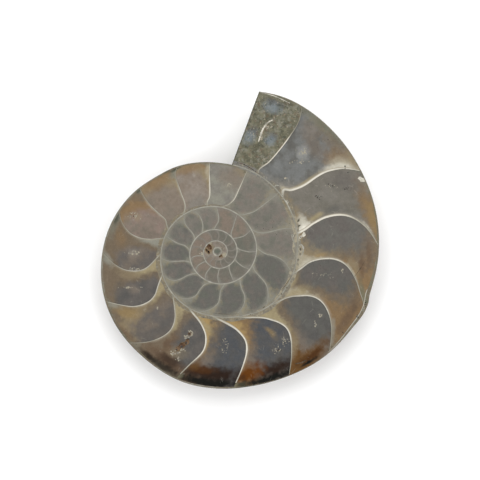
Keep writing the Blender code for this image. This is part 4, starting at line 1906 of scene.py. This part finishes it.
@dataclass(frozen=True)
class Vein:
    """A curved vein in the face: its middle line in mm from the axis, its widths in mm, its brightness."""

    line_mm: tuple[Pair, ...]
    widths_mm: tuple[Pair, ...] = ((0.0, 0.08), (0.5, 0.16), (1.0, 0.06))
    glow: float = 1.0
    samples: int = 60
    depth: float = 0.2 * MM
    height: float = 0.02 * MM

    def build(self) -> Piece:
        """Builds the vein as a strip with ragged edges."""
        last = len(self.line_mm) - 1
        xs = [(i / last, point[0]) for i, point in enumerate(self.line_mm)]
        ys = [(i / last, point[1]) for i, point in enumerate(self.line_mm)]
        centres, widths, glows = [], [], []
        for i in range(self.samples + 1):
            share = i / self.samples
            x = COIL.axis_x + curve_through(xs, share) * MM
            y = COIL.axis_y + curve_through(ys, share) * MM
            centres.append(Vector((x, y, TOP + self.height)))
            rough = noise.noise((share * 21, self.line_mm[0][0], 0.0))
            widths.append(curve_through(self.widths_mm, share) * MM * (1 + 0.8 * rough))
            glows.append(self.glow * (1 + noise.noise((share * 5, self.line_mm[0][1], 2.0))))
        piece = ribbon("vein", centres, widths, self.depth)
        Strips.glow(piece, centres, glows)
        return piece


WHITE_VEINS = (
    Vein(
        ((13.9, 33.1), (12.6, 32.4), (11.4, 30.8), (10.7, 29.0), (10.2, 27.5)),
        ((0.0, 0.12), (0.2, 0.4), (0.45, 0.45), (0.75, 0.6), (1.0, 0.1)),
        0.7,
    ),
)
PALE_VEINS = (
    Vein(
        ((18.9, 4.45), (18.5, 4.1), (19.2, 2.3), (19.7, 0.9), (19.55, -0.7), (18.8, -2.8), (18.1, -4.6)),
        ((0.0, 0.2), (0.15, 0.3), (0.5, 0.26), (1.0, 0.08)),
        0.15,
    ),
    Vein(
        ((20.4, 1.7), (21.0, 1.85), (21.45, 1.0), (21.3, -0.2), (20.8, -1.3)),
        ((0.0, 0.14), (0.3, 0.4), (0.6, 0.3), (1.0, 0.1)),
        0.4,
    ),
    Vein(((18.0, 10.8), (17.4, 12.2), (16.6, 13.4)), ((0.0, 0.06), (0.5, 0.22), (1.0, 0.06)), 0.4),
    Vein(((15.5, 16.6), (14.8, 16.7), (14.2, 16.4)), ((0.0, 0.1), (0.5, 0.3), (1.0, 0.1)), 0.4),
    Vein(((18.1, 37.25), (14.3, 39.0), (10.9, 40.0)), ((0.0, 0.14), (0.5, 0.22), (1.0, 0.16)), 0.6),
)
HAIRLINES = (
    Vein(((16.1, -9.3), (17.3, -7.8), (18.9, -5.4)), ((0.0, 0.05), (0.5, 0.12), (1.0, 0.04))),
    Vein(((-1.1, -15.2), (1.8, -15.5), (5.3, -15.4)), ((0.0, 0.04), (0.5, 0.1), (1.0, 0.04))),
    Vein(((4.9, 22.4), (6.9, 21.8), (10.4, 19.6)), ((0.0, 0.1), (0.5, 0.2), (1.0, 0.08))),
    Vein(((37.0, -1.8), (35.8, -3.9), (34.2, -6.2)), ((0.0, 0.06), (0.5, 0.14), (1.0, 0.06))),
    Vein(((19.4, -27.9), (21.0, -27.6), (22.3, -26.9)), ((0.0, 0.1), (0.5, 0.4), (1.0, 0.1))),
)


@dataclass
class Beads:
    """Flat beads of shell or dark calcite in the face.

    Each is a place in mm from the axis, a length and a width in mm, a direction, and how grey its middle is.
    """

    name: str
    beads_mm: tuple[tuple[float, float, float, float, float, float], ...]
    thickness: float = 0.1 * MM
    sink: float = 0.02 * MM
    lump: float = 0.8 * MM
    raggedness: float = 0.3

    def build(self) -> Piece:
        """Builds the beads, flat domes in the plane of the face, greyer in their middle."""
        bpy.ops.mesh.primitive_uv_sphere_add(segments=32, ring_count=16, radius=0.5)
        model = bpy.context.active_object
        middle = [1 - smooth(vertex.co.xy.length / 0.45) for vertex in model.data.vertices]
        beads = []
        for x, y, long, wide, direction, grey in self.beads_mm:
            scale = Matrix.Diagonal((long * MM, wide * MM, self.thickness, 1.0))
            turn = Matrix.Rotation(math.radians(direction), 4, "Z")
            move = Matrix.Translation((COIL.axis_x + x * MM, COIL.axis_y + y * MM, TOP - self.sink))
            bead = Bench.place_copies(model, [move @ turn @ scale], "bead", keep=True)
            for vertex in bead.data.vertices:
                spot = vertex.co / self.lump
                rough = Vector((noise.noise(spot), noise.noise(spot + Vector((5.0, 9.0, 13.0)))))
                vertex.co.xy += rough * self.raggedness * wide * MM
            Bench.tag(bead, "glow", [0.95 - grey * share for share in middle])
            beads.append(bead)
        bpy.data.objects.remove(model)
        return Bench.join(beads, self.name)


CREAM_BEADS = Beads("cream_beads", (
    (21.5, 4.35, 1.5, 0.95, 55.0, 0.2),
    (20.75, 3.7, 1.0, 0.6, 80.0, 0.9),
    (18.7, 4.1, 0.9, 0.5, 110.0, 0.9),
    (17.4, 12.6, 0.8, 0.5, 120.0, 0.7),
    (16.2, 14.1, 0.7, 0.5, 60.0, 0.7),
    (35.95, 18.2, 2.1, 1.0, 150.0, 0.1),
))
DARK_BEADS = Beads("dark_beads", (
    (20.2, 7.9, 1.35, 0.7, 52.0, 0.9),
    (20.4, 6.6, 0.95, 0.5, 25.0, 0.9),
    (20.75, 0.75, 1.0, 0.5, 95.0, 0.6),
    (20.6, -0.5, 0.8, 0.45, 75.0, 0.5),
    (20.2, -1.8, 0.7, 0.5, 40.0, 0.4),
    (4.9, -16.7, 0.7, 0.45, 10.0, 0.8),
    (11.6, -13.7, 0.7, 0.5, 40.0, 0.8),
    (16.0, -10.4, 0.6, 0.45, 60.0, 0.8),
    (17.3, -8.9, 0.6, 0.45, 60.0, 0.8),
    (-3.5, -16.3, 0.6, 0.4, 0.0, 0.4),
    (8.2, -15.6, 0.5, 0.4, 30.0, 0.5),
    (-9.6, -13.4, 0.6, 0.4, 140.0, 0.4),
))


# --- the studio


@dataclass(frozen=True)
class Softbox:
    """A square lamp that faces the fossil: direction and height in degrees, side in m, power in watts."""

    name: str
    azimuth: float
    elevation: float
    size: float
    power: float
    distance: float = 1.0

    def hang(self) -> None:
        """Hangs the lamp."""
        side, up = math.radians(self.azimuth), math.radians(self.elevation)
        away = Vector((math.cos(side) * math.cos(up), math.sin(side) * math.cos(up), math.sin(up)))
        light = bpy.data.lights.new(self.name, "AREA")
        light.size = self.size
        light.energy = self.power
        lamp = bpy.data.objects.new(self.name, light)
        lamp.location = away * self.distance
        lamp.rotation_euler = away.to_track_quat("Z", "Y").to_euler()
        bpy.context.scene.collection.objects.link(lamp)


@dataclass
class Studio:
    """A pale floor, soft light and a camera that looks straight down."""

    view_width: float = 120 * MM
    camera_height: float = 0.7
    sensor: float = 36.0
    room_light: float = 0.8
    ceiling_light: float = 0.06
    ceiling_from: float = 0.8
    ceiling_to: float = 0.95
    floor_radius: float = 4.0
    floor_drop: float = 0.03 * MM
    paper: tuple[float, float, float, float] = (0.95, 0.95, 0.95, 1.0)
    lamps: tuple[Softbox, ...] = (
        Softbox("softbox_top", 92.0, 55.0, 0.9, 6.6),
        Softbox("softbox_left", 195.0, 45.0, 0.8, 2.9),
        Softbox("softbox_right", 340.0, 45.0, 0.9, 3.8),
    )

    def floor(self) -> None:
        """Lays the floor."""
        spot = (0, 0, -self.floor_drop)
        bpy.ops.mesh.primitive_circle_add(
            vertices=128, radius=self.floor_radius, fill_type="NGON", location=spot
        )
        floor = bpy.context.active_object
        floor.name = "floor"
        floor.data.materials.append(Recipe("floor_paper").surface(self.paper, 0.9, 0.0))

    def world(self) -> None:
        """Sets the even light of a white room, with a dark ceiling right above the polish."""
        world = bpy.data.worlds.new("room")
        graph = Graph(world)
        direction = graph.node("ShaderNodeTexCoord", output="Generated")
        height = graph.node("ShaderNodeSeparateXYZ", inputs={0: direction}, output="Z")
        inputs = {"Value": height, "From Min": self.ceiling_from, "From Max": self.ceiling_to}
        inputs |= {"To Min": self.room_light, "To Max": self.ceiling_light}
        background = graph.tree.nodes["Background"]
        graph.feed(background.inputs["Color"], (1.0, 1.0, 1.0, 1.0))
        graph.feed(background.inputs["Strength"], graph.node("ShaderNodeMapRange", inputs=inputs))
        bpy.context.scene.world = world
        bpy.context.scene.view_settings.view_transform = "Standard"

    def camera(self) -> None:
        """Puts the camera over the fossil."""
        data = bpy.data.cameras.new("camera")
        data.sensor_width = self.sensor
        data.lens = self.sensor * (self.camera_height - TOP) / self.view_width
        camera = bpy.data.objects.new("camera", data)
        camera.location = (0.0, 0.0, self.camera_height)
        bpy.context.scene.collection.objects.link(camera)
        bpy.context.scene.camera = camera

    def build(self) -> None:
        """Sets up the studio."""
        self.world()
        self.floor()
        for lamp in self.lamps:
            lamp.hang()
        self.camera()


def main() -> None:
    """Builds the fossil's pieces in order, then the studio."""
    bpy.ops.object.select_all(action="DESELECT")
    back = StoneBack().build()
    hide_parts(NODE)
    face = SawnFace()
    slabs = face.last_whorl()
    face.body_chamber()
    second = SECOND_WHORL_SEPTA + LAST_WHORL_SEPTA[:1]
    face.inner_whorl("second_whorl", second, SECOND_WHORL_STONE)
    third = THIRD_WHORL_SEPTA + SECOND_WHORL_SEPTA[:1]
    face.inner_whorl("third_whorl", third, THIRD_WHORL_STONE)
    face.inner_whorl("inmost_whorls", INMOST_SEPTA + THIRD_WHORL_SEPTA[:1], INMOST_WHORL_STONE)
    heart = face.heart()
    Pockets().cut([back, heart, *slabs])
    Bench.finish(back, NaturalShell().material())
    Bench.finish(heart, HeartStone().material())
    Bench.finish(MouthCut().build(), RockFill("mouth_rock", skin=True).material())
    face.septa()
    face.whorl_walls()
    face.outer_shell()
    grains = Grains()
    for name, clusters, height, stone in (
        ("calcite_grains", PALE_CLUSTERS, 0.01 * MM, Chip("pale_calcite", Tint.SAND, Tint.PEARL)),
        ("dark_specks", DARK_CLUSTERS, 0.012 * MM, Chip("dark_mineral", Tint.UMBER, Tint.MOSS_GREY)),
    ):
        Bench.finish(grains.build(name, clusters, height), stone.material(), GRAIN_ANGLE)
    for name, veins, stone in (
        ("white_vein", WHITE_VEINS, ShellStrip("white_calcite")),
        ("hairlines", HAIRLINES, Chip("crack_fill", Tint.BISTRE, Tint.FOREST)),
        ("pale_veins", PALE_VEINS, ShellStrip("vein_shell", edge=Tint.PEARL, melt=0.5)),
    ):
        Bench.finish(Bench.join([vein.build() for vein in veins], name), stone.material())
    for beads, stone in (
        (CREAM_BEADS, Chip("cream_shell", Tint.BONE, Tint.CREAM, Tint.STONE)),
        (DARK_BEADS, Chip("dark_calcite", Tint.CLAY, Tint.SAGE, Tint.OLIVE_DARK)),
    ):
        Bench.finish(beads.build(), stone.material(), GRAIN_ANGLE)
    Studio().build()


if __name__ == "__main__":
    main()
